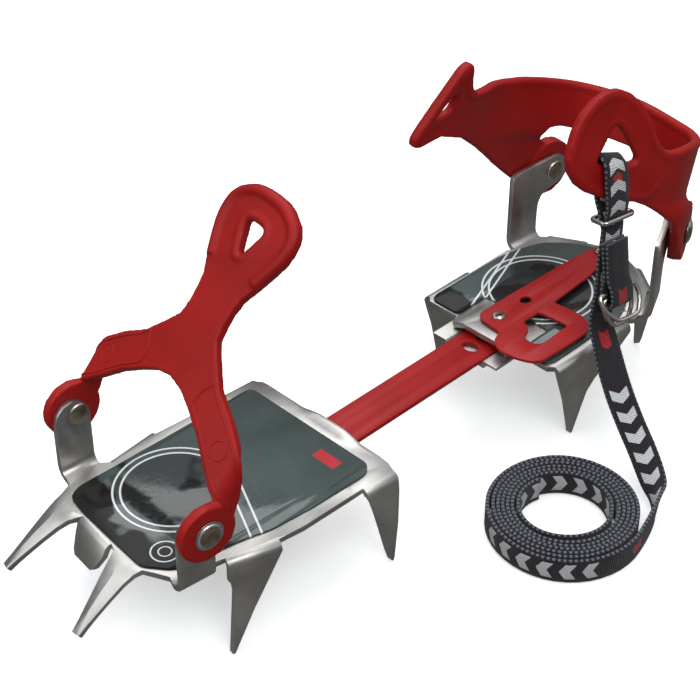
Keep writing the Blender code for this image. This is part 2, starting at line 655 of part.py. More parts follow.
def toe_fold(width):
    """Side reach and drop of the toe binding's outer face at a distance across its pattern."""
    flat = min(width, TOE_FOLD_START)
    slope = 2 * TOE_CROWN * TOE_FOLD_START
    start = math.atan(slope)
    reach, drop = flat, TOE_CROWN * flat * flat
    turn = min(math.pi / 2 - start, max(0.0, (width - TOE_FOLD_START) / TOE_FOLD_RADIUS))
    reach += TOE_FOLD_RADIUS * (math.sin(start + turn) - math.sin(start))
    drop += TOE_FOLD_RADIUS * (math.cos(start) - math.cos(start + turn))
    past = width - TOE_FOLD_START - TOE_FOLD_RADIUS * (math.pi / 2 - start)
    return reach, drop + max(0.0, past)


def toe_mapping(x, y):
    reach, drop = toe_fold(abs(x))
    cos, sin = math.cos(TOE_BINDING_TILT), math.sin(TOE_BINDING_TILT)
    back = TOE_NECK[0] + cos * y + sin * drop
    up = TOE_NECK[1] + sin * y - cos * drop
    return TOE_HINGE + TOE_ACROSS * math.copysign(reach, x) + TOE_BACK * back + UP * up


def toe_binding():
    half = [(0.0, 51.0), (8.0, 50.5), (13.0, 49.0), (20.0, 45.0), (23.7, 40.0), (24.6, 34.0), (24.0, 28.0),
            (21.0, 20.0), (17.5, 12.0), (13.8, 5.0), (12.6, -2.0), (12.5, -9.0), (13.4, -15.0), (16.5, -19.0),
            (21.0, -24.0), (27.5, -31.0), (40.0, -38.4), (50.0, -46.1), (55.0, -50.5), (60.0, -56.5),
            (64.5, -65.0), (67.5, -76.0), (67.5, -86.0), (61.5, -86.0), (61.0, -80.0), (59.0, -75.0),
            (54.5, -71.5), (48.0, -68.0), (40.0, -61.7), (30.0, -53.5), (20.0, -47.2), (10.0, -42.0),
            (0.0, -39.9)]
    outline = half + [(-x, y) for x, y in reversed(half[1:-1])]
    eyelet = round_corners([(0.0, 18.0), (7.3, 35.5), (-7.3, 35.5)], 3.0, 4)
    fold = [TOE_FOLD_START + k * 2.45 for k in range(5)]
    cuts = [(0, sorted([s * v for v in [8, 16, 24, 32, 40] + fold for s in (-1, 1)] + [0.0])),
            (1, [-60.0, -45.0, -30.0, -15.0, 0.0, 15.0, 30.0, 42.0])]
    loops = [outline, eyelet]
    origin = place(*TOE_HINGE)
    obj = mapped_sheet("toe_binding", "red_plastic", loops, cuts, toe_mapping, PLASTIC, -1.0, origin)
    face_outwards(obj, TOE_HINGE + TOE_BACK * 40.0)
    for side, name in ((-1, "near"), (1, "far")):
        boss = [(TOE_HINGE + TOE_ACROSS * side * 53.05, TOE_ACROSS, TOE_BOSS, 2.5)]
        boolean(obj, cylinders(f"toe_boss_{name}", boss, 32), "UNION")
    bore = [(TOE_HINGE + TOE_ACROSS * side * 53.0, TOE_ACROSS, RIVET_RADIUS + 0.06, 8.0) for side in (-1, 1)]
    boolean(obj, cylinders("toe_binding_bores", bore), "DIFFERENCE")


def face_outwards(obj, middle):
    """Turns the sheet's faces so that their normals mostly point away from the point middle."""
    total = 0.0
    for polygon in obj.data.polygons:
        away = obj.location + polygon.center - place(*middle)
        total += polygon.normal.dot(away) * polygon.area
    if total < 0:
        obj.data.flip_normals()


def toe_rivets():
    for side, name in ((-1, "near"), (1, "far")):
        axis = TOE_ACROSS * side
        profile = [(0.0, 57.9), (3.2, 57.6), (5.4, 56.9), (6.3, 56.2), (RIVET_RADIUS, 56.2),
                   (RIVET_RADIUS, 47.2), (5.4, 47.1), (5.0, 46.2), (0.0, 46.1)]
        turned(f"toe_rivet_{name}", "rivet_steel", profile, TOE_HINGE, axis, steps=28)
        ring = [(7.2, 56.1), (7.2, 55.7), (RIVET_RADIUS + 0.15, 55.7), (RIVET_RADIUS + 0.15, 56.1)]
        turned(f"toe_washer_{name}", "rivet_steel", ring, TOE_HINGE, axis, steps=28)


HEEL_PATH = [(-112.0, -34.0), (-95.0, -38.2), (-80.0, -41.2), (-60.0, -44.8), (-36.0, -47.6),
             (-20.0, -46.0), (-5.0, -40.0), (6.0, -29.0), (12.0, -14.0), (13.6, 0.5),
             (12.0, 15.0), (6.0, 30.0), (-5.0, 41.0), (-20.0, 46.8),
             (-36.0, 48.4), (-60.0, 47.8), (-90.0, 45.6), (-120.0, 43.0)]
HEEL_LOW = {
    "near": [(-112.0, -34.0), (-95.0, -38.2), (-80.0, -41.2), (-60.0, -44.8), (-36.0, -49.2),
             (-22.0, -50.6), (-10.0, -46.9), (1.0, -40.7), (16.0, -33.2)],
    "far": [(-120.0, 43.0), (-90.0, 45.6), (-60.0, 48.6), (-36.0, 50.8), (-22.0, 50.6), (-10.0, 49.8),
            (1.0, 48.8), (18.0, 46.8)],
}


def open_curve(points, steps=6):
    """An open Catmull-Rom curve, as (arc length, point) samples."""
    samples = []
    padded = [points[0]] + points + [points[-1]]
    for k in range(len(points) - 1):
        p0, p1, p2, p3 = (Vector(padded[k + j]) for j in range(4))
        for step in range(steps):
            t = step / steps
            samples.append(0.5 * (2 * p1 + (p2 - p0) * t + (2 * p0 - 5 * p1 + 4 * p2 - p3) * t * t
                                  + (3 * p1 - p0 - 3 * p2 + p3) * t**3))
    samples.append(Vector(points[-1]))
    lengths = [0.0]
    for a, b in zip(samples, samples[1:]):
        lengths.append(lengths[-1] + (b - a).length)
    return list(zip(lengths, samples))


def along_curve(curve, length):
    for (l0, p0), (l1, p1) in zip(curve, curve[1:]):
        if length <= l1:
            break
    return p0.lerp(p1, (length - l0) / (l1 - l0))


def length_at(curve, u):
    for (l0, p0), (l1, p1) in zip(curve, curve[1:]):
        if p1.x >= u:
            break
    return l0 + (l1 - l0) * (u - p0.x) / (p1.x - p0.x)


def heel_mapping_for(high, lows, total):
    """The pattern runs from the near ear to the far ear; low parts follow the posts, high parts the heel."""

    def mapping(p, v):
        near = p < total / 2
        q = p if near else total - p
        top = along_curve(high, p)
        low = along_curve(lows["near" if near else "far"], min(q, 150.0))
        blend = smooth((v - 15.0) / 8.0)
        spot = low.lerp(top, blend)
        side = -1.0 if near else 1.0
        lean = 7.0 * max(0.0, (v - 11.0) / 55.0) * smooth((-spot.x - 60.0) / 30.0)
        y = spot.y - side * lean
        return heel_point(spot.x, y, v)

    return mapping


def heel_point(u, y, v):
    cos, sin = math.cos(HEEL_BINDING_PITCH), math.sin(HEEL_BINDING_PITCH)
    return (HEEL_CENTRE.x + cos * u + sin * v, y, HEEL_CENTRE.z - sin * u + cos * v)


FAR_SIDE = [(-20.0, 50.5), (-45.0, 51.0), (-70.0, 50.0), (-80.0, 47.6), (-85.0, 47.4), (-90.6, 51.0),
            (-94.5, 58.0), (-97.2, 64.5), (-100.5, 66.5), (-104.0, 63.5), (-111.0, 45.5), (-117.0, 24.0),
            (-116.4, 19.4), (-111.0, 18.5), (-97.0, 23.6), (-81.0, 21.5), (-65.0, 14.0), (-45.0, 3.0),
            (-28.0, -5.0), (-14.0, -11.5), (-7.0, -14.6), (1.0, -16.2), (9.0, -14.2), (14.4, -8.5),
            (16.3, -1.0), (14.4, 5.6), (10.0, 9.6), (3.0, 11.4), (-6.0, 13.4), (-12.6, 16.4), (-15.8, 20.4),
            (-13.6, 24.2), (-7.0, 26.0)]
NEAR_SIDE = [(-20.0, 51.0), (-31.0, 50.2), (-42.0, 47.8), (-50.0, 48.6), (-57.5, 52.8), (-63.0, 59.0),
             (-68.0, 65.8), (-73.7, 71.6), (-79.0, 74.8), (-85.6, 75.8), (-92.5, 73.8), (-97.7, 70.5),
             (-101.3, 66.3), (-104.7, 61.6), (-107.0, 55.0), (-108.2, 47.0), (-108.0, 40.5), (-105.7, 35.0),
             (-100.0, 29.4), (-92.7, 26.0), (-84.0, 24.1), (-72.0, 23.2), (-61.0, 22.4), (-51.0, 20.0),
             (-40.5, 16.3), (-29.0, 10.6), (-21.0, 2.5), (-14.0, -6.5), (-7.0, -12.8), (1.0, -16.2),
             (9.0, -14.2), (14.4, -8.5), (16.3, -1.0), (14.4, 5.6), (10.0, 9.6), (3.0, 11.4), (-4.0, 13.4),
             (-8.6, 16.6),
             (-10.0, 20.5), (-8.0, 24.2), (-2.0, 26.0)]
FAR_EYELET = [(-100.5, 53.5), (-111.0, 33.0), (-97.0, 38.0)]
NEAR_EYELET = [(-83.0, 61.0), (-91.5, 39.0), (-66.0, 42.5)]


def heel_binding():
    high = open_curve(HEEL_PATH)
    lows = {side: open_curve(points) for side, points in HEEL_LOW.items()}
    total = high[-1][0]

    near = [(length_at(lows["near"], u), v) for u, v in NEAR_SIDE]
    far = [(total - length_at(lows["far"], u), v) for u, v in FAR_SIDE]
    near_hole = [(length_at(lows["near"], u), v) for u, v in NEAR_EYELET]
    far_hole = [(total - length_at(lows["far"], u), v) for u, v in FAR_EYELET]
    loops = [near + list(reversed(far)), round_corners(near_hole, 2.0, 4), round_corners(far_hole, 3.0, 4)]
    cuts = [(0, [k * 6.0 for k in range(1, int(total / 6.0) + 1)]),
            (1, [-5.0, 5.0, 14.0, 18.0, 22.0, 30.0, 40.0, 55.0])]
    mapping = heel_mapping_for(high, lows, total)
    origin = heel_axis_origin()
    obj = mapped_sheet("heel_binding", "red_plastic", loops, cuts, mapping, PLASTIC, 0.0, origin)
    face_outwards(obj, HEEL_CENTRE - Vector((40.0, 0.0, 0.0)))
    bores = []
    for side, gap in (("near", NEAR_BOSS_GAP), ("far", FAR_BOSS_GAP)):
        out = HEEL_POSTS[side][2]
        centre = heel_rivet_centre(side) + out * (STEEL / 2 + gap + BOSS_THICK / 2)
        boolean(obj, cylinders(f"heel_boss_{side}", [(centre, out, HEEL_BOSS, BOSS_THICK / 2)], 32), "UNION")
        bores.append((centre, out, RIVET_RADIUS + RIVET_PLAY, 9.0))
    boolean(obj, cylinders("heel_binding_bores", bores), "DIFFERENCE")


def heel_rivets():
    for side, gap in (("near", NEAR_BOSS_GAP), ("far", FAR_BOSS_GAP)):
        out = HEEL_POSTS[side][2]
        centre = heel_rivet_centre(side)
        face = STEEL / 2 + gap + BOSS_THICK
        profile = [(0.0, face + 2.9), (3.2, face + 2.6), (5.4, face + 1.9), (6.3, face + 1.1),
                   (RIVET_RADIUS, face + 1.1), (RIVET_RADIUS, -STEEL / 2 - 0.05), (5.6, -STEEL / 2 - 0.1),
                   (5.2, -STEEL / 2 - 1.0), (0.0, -STEEL / 2 - 1.1)]
        turned(f"heel_rivet_{side}", "rivet_steel", profile, centre, out, steps=28)
        ring = [(7.2, face + 1.0), (7.2, face + 0.6), (RIVET_RADIUS + 0.1, face + 0.6),
                (RIVET_RADIUS + 0.1, face + 1.0)]
        turned(f"heel_washer_{side}", "rivet_steel", ring, centre, out, steps=28)


# Webbing

def ribbon(name, spots, closed, origin=None, width=STRAP_WIDTH):
    """Flat webbing along spots, each (centre, direction across its width)."""
    bm = bmesh.new()
    rows = []
    for centre, across in spots:
        across = Vector(across).normalized() * width / 2
        rows.append([bm.verts.new(place(*(Vector(centre) + across * side))) for side in (-1, -0.33, 0.33, 1)])
    pairs = list(zip(rows, rows[1:]))
    if closed:
        pairs.append((rows[-1], rows[0]))
    for upper, lower in pairs:
        for k in range(3):
            bm.faces.new([upper[k], upper[k + 1], lower[k + 1], lower[k]])
    bmesh.ops.recalc_face_normals(bm, faces=bm.faces)
    obj = add_object(name, mesh_from(bm, name), "webbing", origin)
    solidify(obj, STRAP_THICK, 0.0)
    return obj


def strap_loop():
    """The turn of webbing that passes through the near eyelet and round the ear's lower bar."""
    out = Vector((-0.26, -0.965, 0.0))
    profile = [(4.9, -10.0), (5.5, 0.0), (5.6, 9.0), (3.2, 12.2), (0.0, 13.2), (-2.8, 11.8), (-5.0, 8.6),
               (-5.0, 0.0), (-4.6, -10.0), (-2.8, -16.0), (-1.9, -20.5), (0.0, -22.3), (1.9, -20.5),
               (2.8, -16.0)]
    level, tilted = Vector(STRAP_ACROSS), Vector((0.93, -0.25, -0.28))
    spots = []
    for o, s in profile:
        spots.append((EAR_BAR + out * o + EAR_UP * s, level.lerp(tilted, smooth((s + 14.0) / 14.0))))
    ribbon("strap_loop", spots, True, heel_axis_origin(), STRAP_WIDTH - 1.4)


def heel_axis_origin():
    return place(*((heel_rivet_centre("near") + heel_rivet_centre("far")) / 2))


STRAP_DROP = [(49.5, -43.8, 116.0), (47.5, -44.6, 100.0), (46.4, -46.8, 82.0), (44.0, -49.6, 66.0),
              (40.0, -56.5, 52.0), (34.0, -66.0, 37.0), (27.5, -75.0, 24.0), (22.0, -81.5, 15.0),
              (16.5, -86.0, 8.6)]


def strap_drop():
    """The hanging stretch, turning from flat beside the heel to on edge beside the coil."""
    spots = []
    for k, centre in enumerate(STRAP_DROP):
        t = smooth((k - 1) / (len(STRAP_DROP) - 2))
        spots.append((centre, Vector(STRAP_ACROSS).lerp(Vector(ON_EDGE), t)))
    ribbon("strap_drop", spots, False)


def strap_end():
    """The sewn end, folded into a loop that holds the two rings."""
    profile = [(-1.3, 112.0), (-1.3, 93.0), (-3.1, 88.0), (-3.1, 81.0), (0.0, 77.6), (3.1, 81.0), (3.1, 88.0),
               (1.3, 93.0), (1.3, 112.0), (0.0, 113.6)]
    spots = []
    for y, z in profile:
        centre = Vector((46.8, -47.9 - 4.7 * (112.0 - z) / 30.0 + y, z))
        spots.append((centre, STRAP_ACROSS))
    ribbon("strap_end", spots, True, heel_axis_origin())


def strap_roll():
    half = STRAP_WIDTH / 2
    ring = [(ROLL_OUTER, half), (ROLL_OUTER, -half), (ROLL_INNER, -half), (ROLL_INNER, half)]
    turned("strap_roll", "webbing", ring, ROLL_CENTRE + UP * half, UP, steps=48)


def keeper_ring():
    out = Vector((-0.17, -0.985, 0.0))
    across = Vector(STRAP_ACROSS)
    centre = EAR_BAR + EAR_UP * -18.5
    loop = round_corners([(-10.2, -5.6), (10.2, -5.6), (10.2, 5.6), (-10.2, 5.6)], 2.6, 4)
    points = [place(*(centre + across * a + out * o + UP * (0.12 * a))) for a, o in loop]
    wire_ring("keeper_ring", "rivet_steel", points, KEEPER_WIRE, heel_axis_origin())


def d_ring(name):
    bar, half, drop, tilt = D_RINGS[name]
    across = Vector(STRAP_ACROSS)
    down = Vector((0.0, -math.sin(tilt), -math.cos(tilt)))
    loop = round_corners([(-half, 0.0), (-half, drop * 0.5), (-half * 0.55, drop), (half * 0.55, drop),
                          (half, drop * 0.5), (half, 0.0)], 3.0, 4)
    points = [place(*(bar + across * a + down * d)) for a, d in loop]
    wire_ring(name, "rivet_steel", points, D_WIRE, place(*bar))


clear_scene()
MATERIALS = {name: make_material(name) for name in COLOURS}
PARTS = make_collection("Crampon")
CUTTERS = make_collection("Cutters")

front_plate()
front_cover()
front_under_plate()
for number, (snap_x, snap_y) in enumerate(FRONT_SNAPS, 1):
    snap_pin(f"front_stud_{number}", snap_x, snap_y, PLATE_TOP, UNDER_TOP - UNDER - 0.05)
bar_pivot_rivet()
linking_bar()
heel_plate()
heel_cover()
heel_under_plate()
for number, (snap_x, snap_y) in enumerate(HEEL_SNAPS, 1):
    snap_pin(f"heel_stud_{number}", snap_x, snap_y, PLATE_TOP, UNDER_TOP - UNDER - 0.05)
bar_guide()
guide_rivets()
lock_lever()
lock_pin()
lever_rivet()
toe_binding()
toe_rivets()
heel_binding()
heel_rivets()
strap_loop()
strap_drop()
strap_end()
strap_roll()
keeper_ring()
d_ring("d_ring_a")
d_ring("d_ring_b")
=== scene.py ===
"""Looks of the left-foot walking crampon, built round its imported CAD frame.

Lengths handed to Blender are in metres. Layout numbers are in millimetres in the maker's frame, as in
part.py, and place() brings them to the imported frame.
"""

import json
import math

import bmesh
import bpy
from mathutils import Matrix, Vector


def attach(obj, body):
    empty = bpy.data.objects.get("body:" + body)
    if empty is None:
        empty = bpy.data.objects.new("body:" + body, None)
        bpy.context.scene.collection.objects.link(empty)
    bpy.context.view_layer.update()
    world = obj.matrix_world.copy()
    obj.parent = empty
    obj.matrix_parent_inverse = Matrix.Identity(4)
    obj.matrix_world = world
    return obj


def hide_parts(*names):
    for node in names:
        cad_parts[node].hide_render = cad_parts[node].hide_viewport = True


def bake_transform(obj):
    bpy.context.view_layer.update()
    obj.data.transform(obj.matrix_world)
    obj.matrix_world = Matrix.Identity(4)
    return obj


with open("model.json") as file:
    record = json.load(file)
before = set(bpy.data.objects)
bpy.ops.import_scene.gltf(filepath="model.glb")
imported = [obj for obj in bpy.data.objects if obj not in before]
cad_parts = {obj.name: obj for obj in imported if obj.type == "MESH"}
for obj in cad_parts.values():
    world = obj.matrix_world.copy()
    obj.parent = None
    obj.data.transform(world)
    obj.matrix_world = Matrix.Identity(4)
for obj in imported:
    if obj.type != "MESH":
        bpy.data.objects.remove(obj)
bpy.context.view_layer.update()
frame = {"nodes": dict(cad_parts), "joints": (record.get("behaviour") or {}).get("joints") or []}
NODES = frame["nodes"]

MM = 0.001
# From the maker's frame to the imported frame, in millimetres
SHIFT = Vector((53.286, -12.444, 0.499))
UP = Vector((0.0, 0.0, 1.0))
# Points nearer than this, in metres, are one point
WELD = 0.00001


def place(x, y, z):
    return (Vector((x, y, z)) + SHIFT) * MM


def add_object(name, bm, material):
    """An object in the scene with the bmesh's shape, which is then freed."""
    mesh = bpy.data.meshes.new(name)
    bm.to_mesh(mesh)
    bm.free()
    mesh.materials.append(material)
    obj = bpy.data.objects.new(name, mesh)
    bpy.context.scene.collection.objects.link(obj)
    return obj


# Camera, lights, floor and backdrop

CAMERA_AZIMUTH = math.radians(-45.04)
CAMERA_ELEVATION = math.radians(37.31)
CAMERA_DISTANCE = 0.98
CAMERA_LENS = 92.57
CAMERA_SENSOR = 36.0
CAMERA_AIM = (0.0, 84.85, 0.0)
LIGHT_TARGET = Vector((0.0, 0.0, 0.05))
SKY_STRENGTH = 0.95
# Height on the sky's sphere, from 0 below to 1 above, and the colour there
SKY_STOPS = [(0.0, (0.17, 0.17, 0.165, 1.0)), (0.36, (0.25, 0.26, 0.26, 1.0)),
             (0.56, (0.66, 0.71, 0.73, 1.0)), (1.0, (0.86, 0.90, 0.93, 1.0))]
FLOOR_HALF = 12.0
FLOOR_DROP = 0.0002
FLOOR_GLOW = 0.42
WALL_RADIUS = 11.5
WALL_HEIGHT = 9.0
WALL_SIDES = 64
WALL_GLOW = 0.97


def make_camera():
    flat = math.cos(CAMERA_ELEVATION)
    rise = math.sin(CAMERA_ELEVATION)
    back = Vector((math.sin(CAMERA_AZIMUTH) * flat, -math.cos(CAMERA_AZIMUTH) * flat, rise))
    data = bpy.data.cameras.new("camera")
    data.lens = CAMERA_LENS
    data.sensor_width = CAMERA_SENSOR
    camera = bpy.data.objects.new("camera", data)
    camera.location = place(*CAMERA_AIM) + back * CAMERA_DISTANCE
    camera.rotation_mode = "QUATERNION"
    camera.rotation_quaternion = (-back).to_track_quat("-Z", "Y")
    bpy.context.scene.collection.objects.link(camera)
    bpy.context.scene.camera = camera


def area_light(name, spot, size, power, tint=(1.0, 1.0, 1.0)):
    data = bpy.data.lights.new(name, "AREA")
    data.shape = "SQUARE"
    data.size = size
    data.energy = power
    data.color = tint
    light = bpy.data.objects.new(name, data)
    light.location = spot
    light.rotation_mode = "QUATERNION"
    light.rotation_quaternion = (LIGHT_TARGET - Vector(spot)).to_track_quat("-Z", "Y")
    bpy.context.scene.collection.objects.link(light)


def make_world():
    world = bpy.data.worlds.new("studio")
    world.use_nodes = True
    tree = world.node_tree
    background = tree.nodes["Background"]
    coords = tree.nodes.new("ShaderNodeTexCoord")
    split = tree.nodes.new("ShaderNodeSeparateXYZ")
    ramp = tree.nodes.new("ShaderNodeValToRGB")
    tree.links.new(coords.outputs["Generated"], split.inputs[0])
    tree.links.new(split.outputs["Z"], ramp.inputs["Fac"])
    stops = ramp.color_ramp.elements
    stops[0].position, stops[0].color = SKY_STOPS[0]
    stops[1].position, stops[1].color = SKY_STOPS[-1]
    for height, colour in SKY_STOPS[1:-1]:
        stops.new(height).color = colour
    tree.links.new(ramp.outputs["Color"], background.inputs["Color"])
    background.inputs["Strength"].default_value = SKY_STRENGTH
    bpy.context.scene.world = world


def plain_material(name, values):
    """A material for the studio, with a constant for each shader socket that is named."""
    material = bpy.data.materials.new(name)
    material.use_nodes = True
    shader = material.node_tree.nodes["Principled BSDF"]
    for socket, value in values.items():
        shader.inputs[socket].default_value = value
    return material


def make_floor():
    """A white sheet that lights neither the undersides nor the reflections, as in a cut-out studio shot."""
    bm = bmesh.new()
    bmesh.ops.create_grid(bm, x_segments=2, y_segments=2, size=FLOOR_HALF)
    floor = add_object("floor", bm, plain_material("floor", {
        "Base Color": (0.90, 0.90, 0.90, 1.0),
        "Roughness": 0.9,
        "Specular IOR Level": 0.1,
        "Emission Color": (1.0, 1.0, 1.0, 1.0),
        "Emission Strength": FLOOR_GLOW,
    }))
    floor.location = (0.0, 0.0, -FLOOR_DROP)
    floor.visible_glossy = False
    floor.visible_diffuse = False


def make_backdrop():
    """A round wall far behind the object, seen by the camera only, so that low views keep a pale ground."""
    bm = bmesh.new()
    foot = bmesh.ops.create_circle(bm, segments=WALL_SIDES, radius=WALL_RADIUS)["verts"]
    head = bmesh.ops.create_circle(bm, segments=WALL_SIDES, radius=WALL_RADIUS)["verts"]
    for vert in head:
        vert.co.z = WALL_HEIGHT
    for k in range(WALL_SIDES):
        n = (k + 1) % WALL_SIDES
        bm.faces.new([foot[k], foot[n], head[n], head[k]])
    wall = add_object("backdrop", bm, plain_material("backdrop", {
        "Base Color": (0.0, 0.0, 0.0, 1.0),
        "Specular IOR Level": 0.0,
        "Emission Color": (1.0, 1.0, 1.0, 1.0),
        "Emission Strength": WALL_GLOW,
    }))
    for ray in ("diffuse", "glossy", "transmission", "shadow"):
        setattr(wall, "visible_" + ray, False)


# Materials

# The colour sockets of a Mix node, whose names repeat those of its other data types
MIX_A, MIX_B, MIX_RESULT = 6, 7, 2
# Half the soft edge of a printed line
PRINT_BLUR = 0.00012
# Where the film's wear reaches the matt black below it
FILM_EDGE = (0.47, 0.5)


class Recipe:
    """A node material with short calls for its maths. Each call takes numbers or sockets."""

    def __init__(self, name):
        self.material = bpy.data.materials.new(name)
        self.material.use_nodes = True
        self.tree = self.material.node_tree
        self.shader = self.tree.nodes["Principled BSDF"]

    def node(self, kind, **settings):
        node = self.tree.nodes.new(kind)
        for key, value in settings.items():
            setattr(node, key, value)
        return node

    def join(self, source, target):
        self.tree.links.new(source, target)

    def feed(self, value, socket):
        if isinstance(value, tuple):
            socket.default_value = (*value, 1.0)
        elif isinstance(value, (int, float)):
            socket.default_value = value
        else:
            self.join(value, socket)

    def maths(self, operation, first, second=0.0):
        node = self.node("ShaderNodeMath", operation=operation)
        self.feed(first, node.inputs[0])
        self.feed(second, node.inputs[1])
        return node.outputs[0]

    def vector(self, operation, first, second=(0.0, 0.0, 0.0)):
        """Vector maths on a socket, with a fixed second vector."""
        node = self.node("ShaderNodeVectorMath", operation=operation)
        self.join(first, node.inputs[0])
        node.inputs[1].default_value = second
        return node.outputs

    def position(self):
        return self.node("ShaderNodeTexCoord").outputs["Object"]

    def split(self, vector):
        node = self.node("ShaderNodeSeparateXYZ")
        self.join(vector, node.inputs[0])
        return node.outputs[0], node.outputs[1]

    def scaled(self, vector, scale):
        node = self.node("ShaderNodeMapping")
        node.inputs["Scale"].default_value = scale
        self.join(vector, node.inputs["Vector"])
        return node.outputs[0]

    def noise(self, vector, scale, detail=3.0, rough=0.55):
        node = self.node("ShaderNodeTexNoise")
        self.join(vector, node.inputs["Vector"])
        node.inputs["Scale"].default_value = scale
        node.inputs["Detail"].default_value = detail
        node.inputs["Roughness"].default_value = rough
        return node.outputs["Fac"]

    def ramp(self, value, low, dark, high, pale):
        """One colour up to low, another from high on, and a blend between."""
        node = self.node("ShaderNodeValToRGB")
        elements = node.color_ramp.elements
        elements[0].position, elements[0].color = low, (*dark, 1.0)
        elements[1].position, elements[1].color = high, (*pale, 1.0)
        self.join(value, node.inputs["Fac"])
        return node.outputs["Color"]

    def span(self, value, low, high, out_low=0.0, out_high=1.0):
        node = self.node("ShaderNodeMapRange")
        self.feed(value, node.inputs["Value"])
        node.inputs["From Min"].default_value = low
        node.inputs["From Max"].default_value = high
        node.inputs["To Min"].default_value = out_low
        node.inputs["To Max"].default_value = out_high
        return node.outputs[0]

    def mix(self, factor, first, second):
        node = self.node("ShaderNodeMix", data_type="RGBA")
        self.feed(factor, node.inputs["Factor"])
        self.feed(first, node.inputs[MIX_A])
        self.feed(second, node.inputs[MIX_B])
        return node.outputs[MIX_RESULT]

    def bump(self, height, strength, distance):
        node = self.node("ShaderNodeBump")
        node.inputs["Strength"].default_value = strength
        node.inputs["Distance"].default_value = distance
        self.join(height, node.inputs["Height"])
        return node.outputs["Normal"]

    def set(self, name, value):
        self.feed(value, self.shader.inputs[name])


def steel_material(name, base, dark, rough_low, rough_high, streak):
    """Tumbled sheet steel: mottled polish, fine rolling streaks and small dents."""
    r = Recipe(name)
    spot = r.position()
    cloud = r.noise(spot, scale=34.0, detail=3.0, rough=0.45)
    grain = r.noise(r.scaled(spot, (160.0, 1100.0, 700.0)), scale=1.0, detail=2.0)
    dents = r.noise(spot, scale=900.0, detail=2.0, rough=0.7)
    tone = r.maths("ADD", r.maths("MULTIPLY", cloud, 0.8), r.maths("MULTIPLY", grain, 0.2))
    r.set("Base Color", r.ramp(tone, 0.3, dark, 0.68, base))
    r.set("Metallic", 1.0)
    r.set("Roughness", r.span(tone, 0.3, 0.7, rough_low, rough_high))
    height = r.maths("ADD", r.maths("MULTIPLY", grain, streak), r.maths("MULTIPLY", dents, 0.7))
    r.set("Normal", r.bump(height, strength=0.32, distance=0.0001))
    return r.material


def rivet_material(name, centre, axis):
    """A rivet head with a bright rolled ring round a browned, darker middle."""
    ring_start, ring_full = 0.0053, 0.0057
    r = Recipe(name)
    spot = r.position()
    from_centre = r.vector("SUBTRACT", spot, centre)[0]
    from_axis = r.vector("CROSS_PRODUCT", from_centre, axis)[0]
    radius = r.vector("LENGTH", from_axis)["Value"]
    mottle = r.noise(spot, scale=260.0, detail=4.0, rough=0.65)
    middle = r.ramp(mottle, 0.3, (0.20, 0.14, 0.09), 0.7, (0.50, 0.42, 0.33))
    ragged = r.maths("ADD", radius, r.maths("MULTIPLY", mottle, 0.0004))
    ring = r.span(ragged, ring_start, ring_full)
    r.set("Base Color", r.mix(ring, middle, (0.90, 0.89, 0.87)))
    r.set("Metallic", 1.0)
    r.set("Roughness", r.span(ring, 0.0, 1.0, 0.34, 0.24))
    r.set("Normal", r.bump(ring, strength=0.9, distance=0.0004))
    return r.material


def red_moulding():
    """Satin moulded nylon with a faint pearskin and flow marks."""
    r = Recipe("red_moulding")
    spot = r.position()
    flow = r.noise(spot, scale=26.0, detail=3.0)
    skin = r.noise(spot, scale=2200.0, detail=2.0, rough=0.6)
    r.set("Base Color", r.ramp(flow, 0.32, (0.285, 0.0065, 0.0055), 0.7, (0.375, 0.010, 0.0085)))
    dull = r.maths("ADD", flow, r.maths("MULTIPLY", skin, 0.4))
    r.set("Roughness", r.span(dull, 0.4, 1.0, 0.38, 0.54))
    r.set("Specular IOR Level", 0.22)
    r.set("Normal", r.bump(skin, strength=0.18, distance=0.0001))
    return r.material


def red_paint():
    """Satin powder coat over flat steel, with a fine orange peel and worn specks."""
    r = Recipe("red_paint")
    spot = r.position()
    peel = r.noise(spot, scale=700.0, detail=2.0)
    wear = r.noise(spot, scale=210.0, detail=5.0, rough=0.7)
    body = r.ramp(r.noise(spot, scale=30.0), 0.3, (0.33, 0.009, 0.010), 0.7, (0.40, 0.013, 0.015))
    specks = r.span(wear, 0.73, 0.77)
    r.set("Base Color", r.mix(specks, body, (0.30, 0.10, 0.10)))
    r.set("Roughness", r.span(peel, 0.3, 0.7, 0.34, 0.46))
    r.set("Specular IOR Level", 0.25)
    r.set("Normal", r.bump(peel, strength=0.2, distance=0.0002))
    return r.material


def band(r, distance, half):
    """1 where the distance is within half of 0, with a soft edge."""
    return r.span(r.maths("ABSOLUTE", distance), half + PRINT_BLUR, half - PRINT_BLUR)


def line_distance(r, x, y, centre, angle):
    """Signed distance from a straight line through centre at an angle in degrees."""
    turn = math.radians(angle)
    nx, ny = -math.sin(turn), math.cos(turn)
    return r.maths("ADD", r.maths("MULTIPLY", r.maths("SUBTRACT", x, centre[0]), nx),
                   r.maths("MULTIPLY", r.maths("SUBTRACT", y, centre[1]), ny))


def ring_distance(r, x, y, centre, radius):
    """Signed distance from a circle, negative inside it."""
    dx = r.maths("SUBTRACT", x, centre[0])
    dy = r.maths("SUBTRACT", y, centre[1])
    far = r.maths("SQRT", r.maths("ADD", r.maths("MULTIPLY", dx, dx), r.maths("MULTIPLY", dy, dy)))
    return r.maths("SUBTRACT", far, radius)


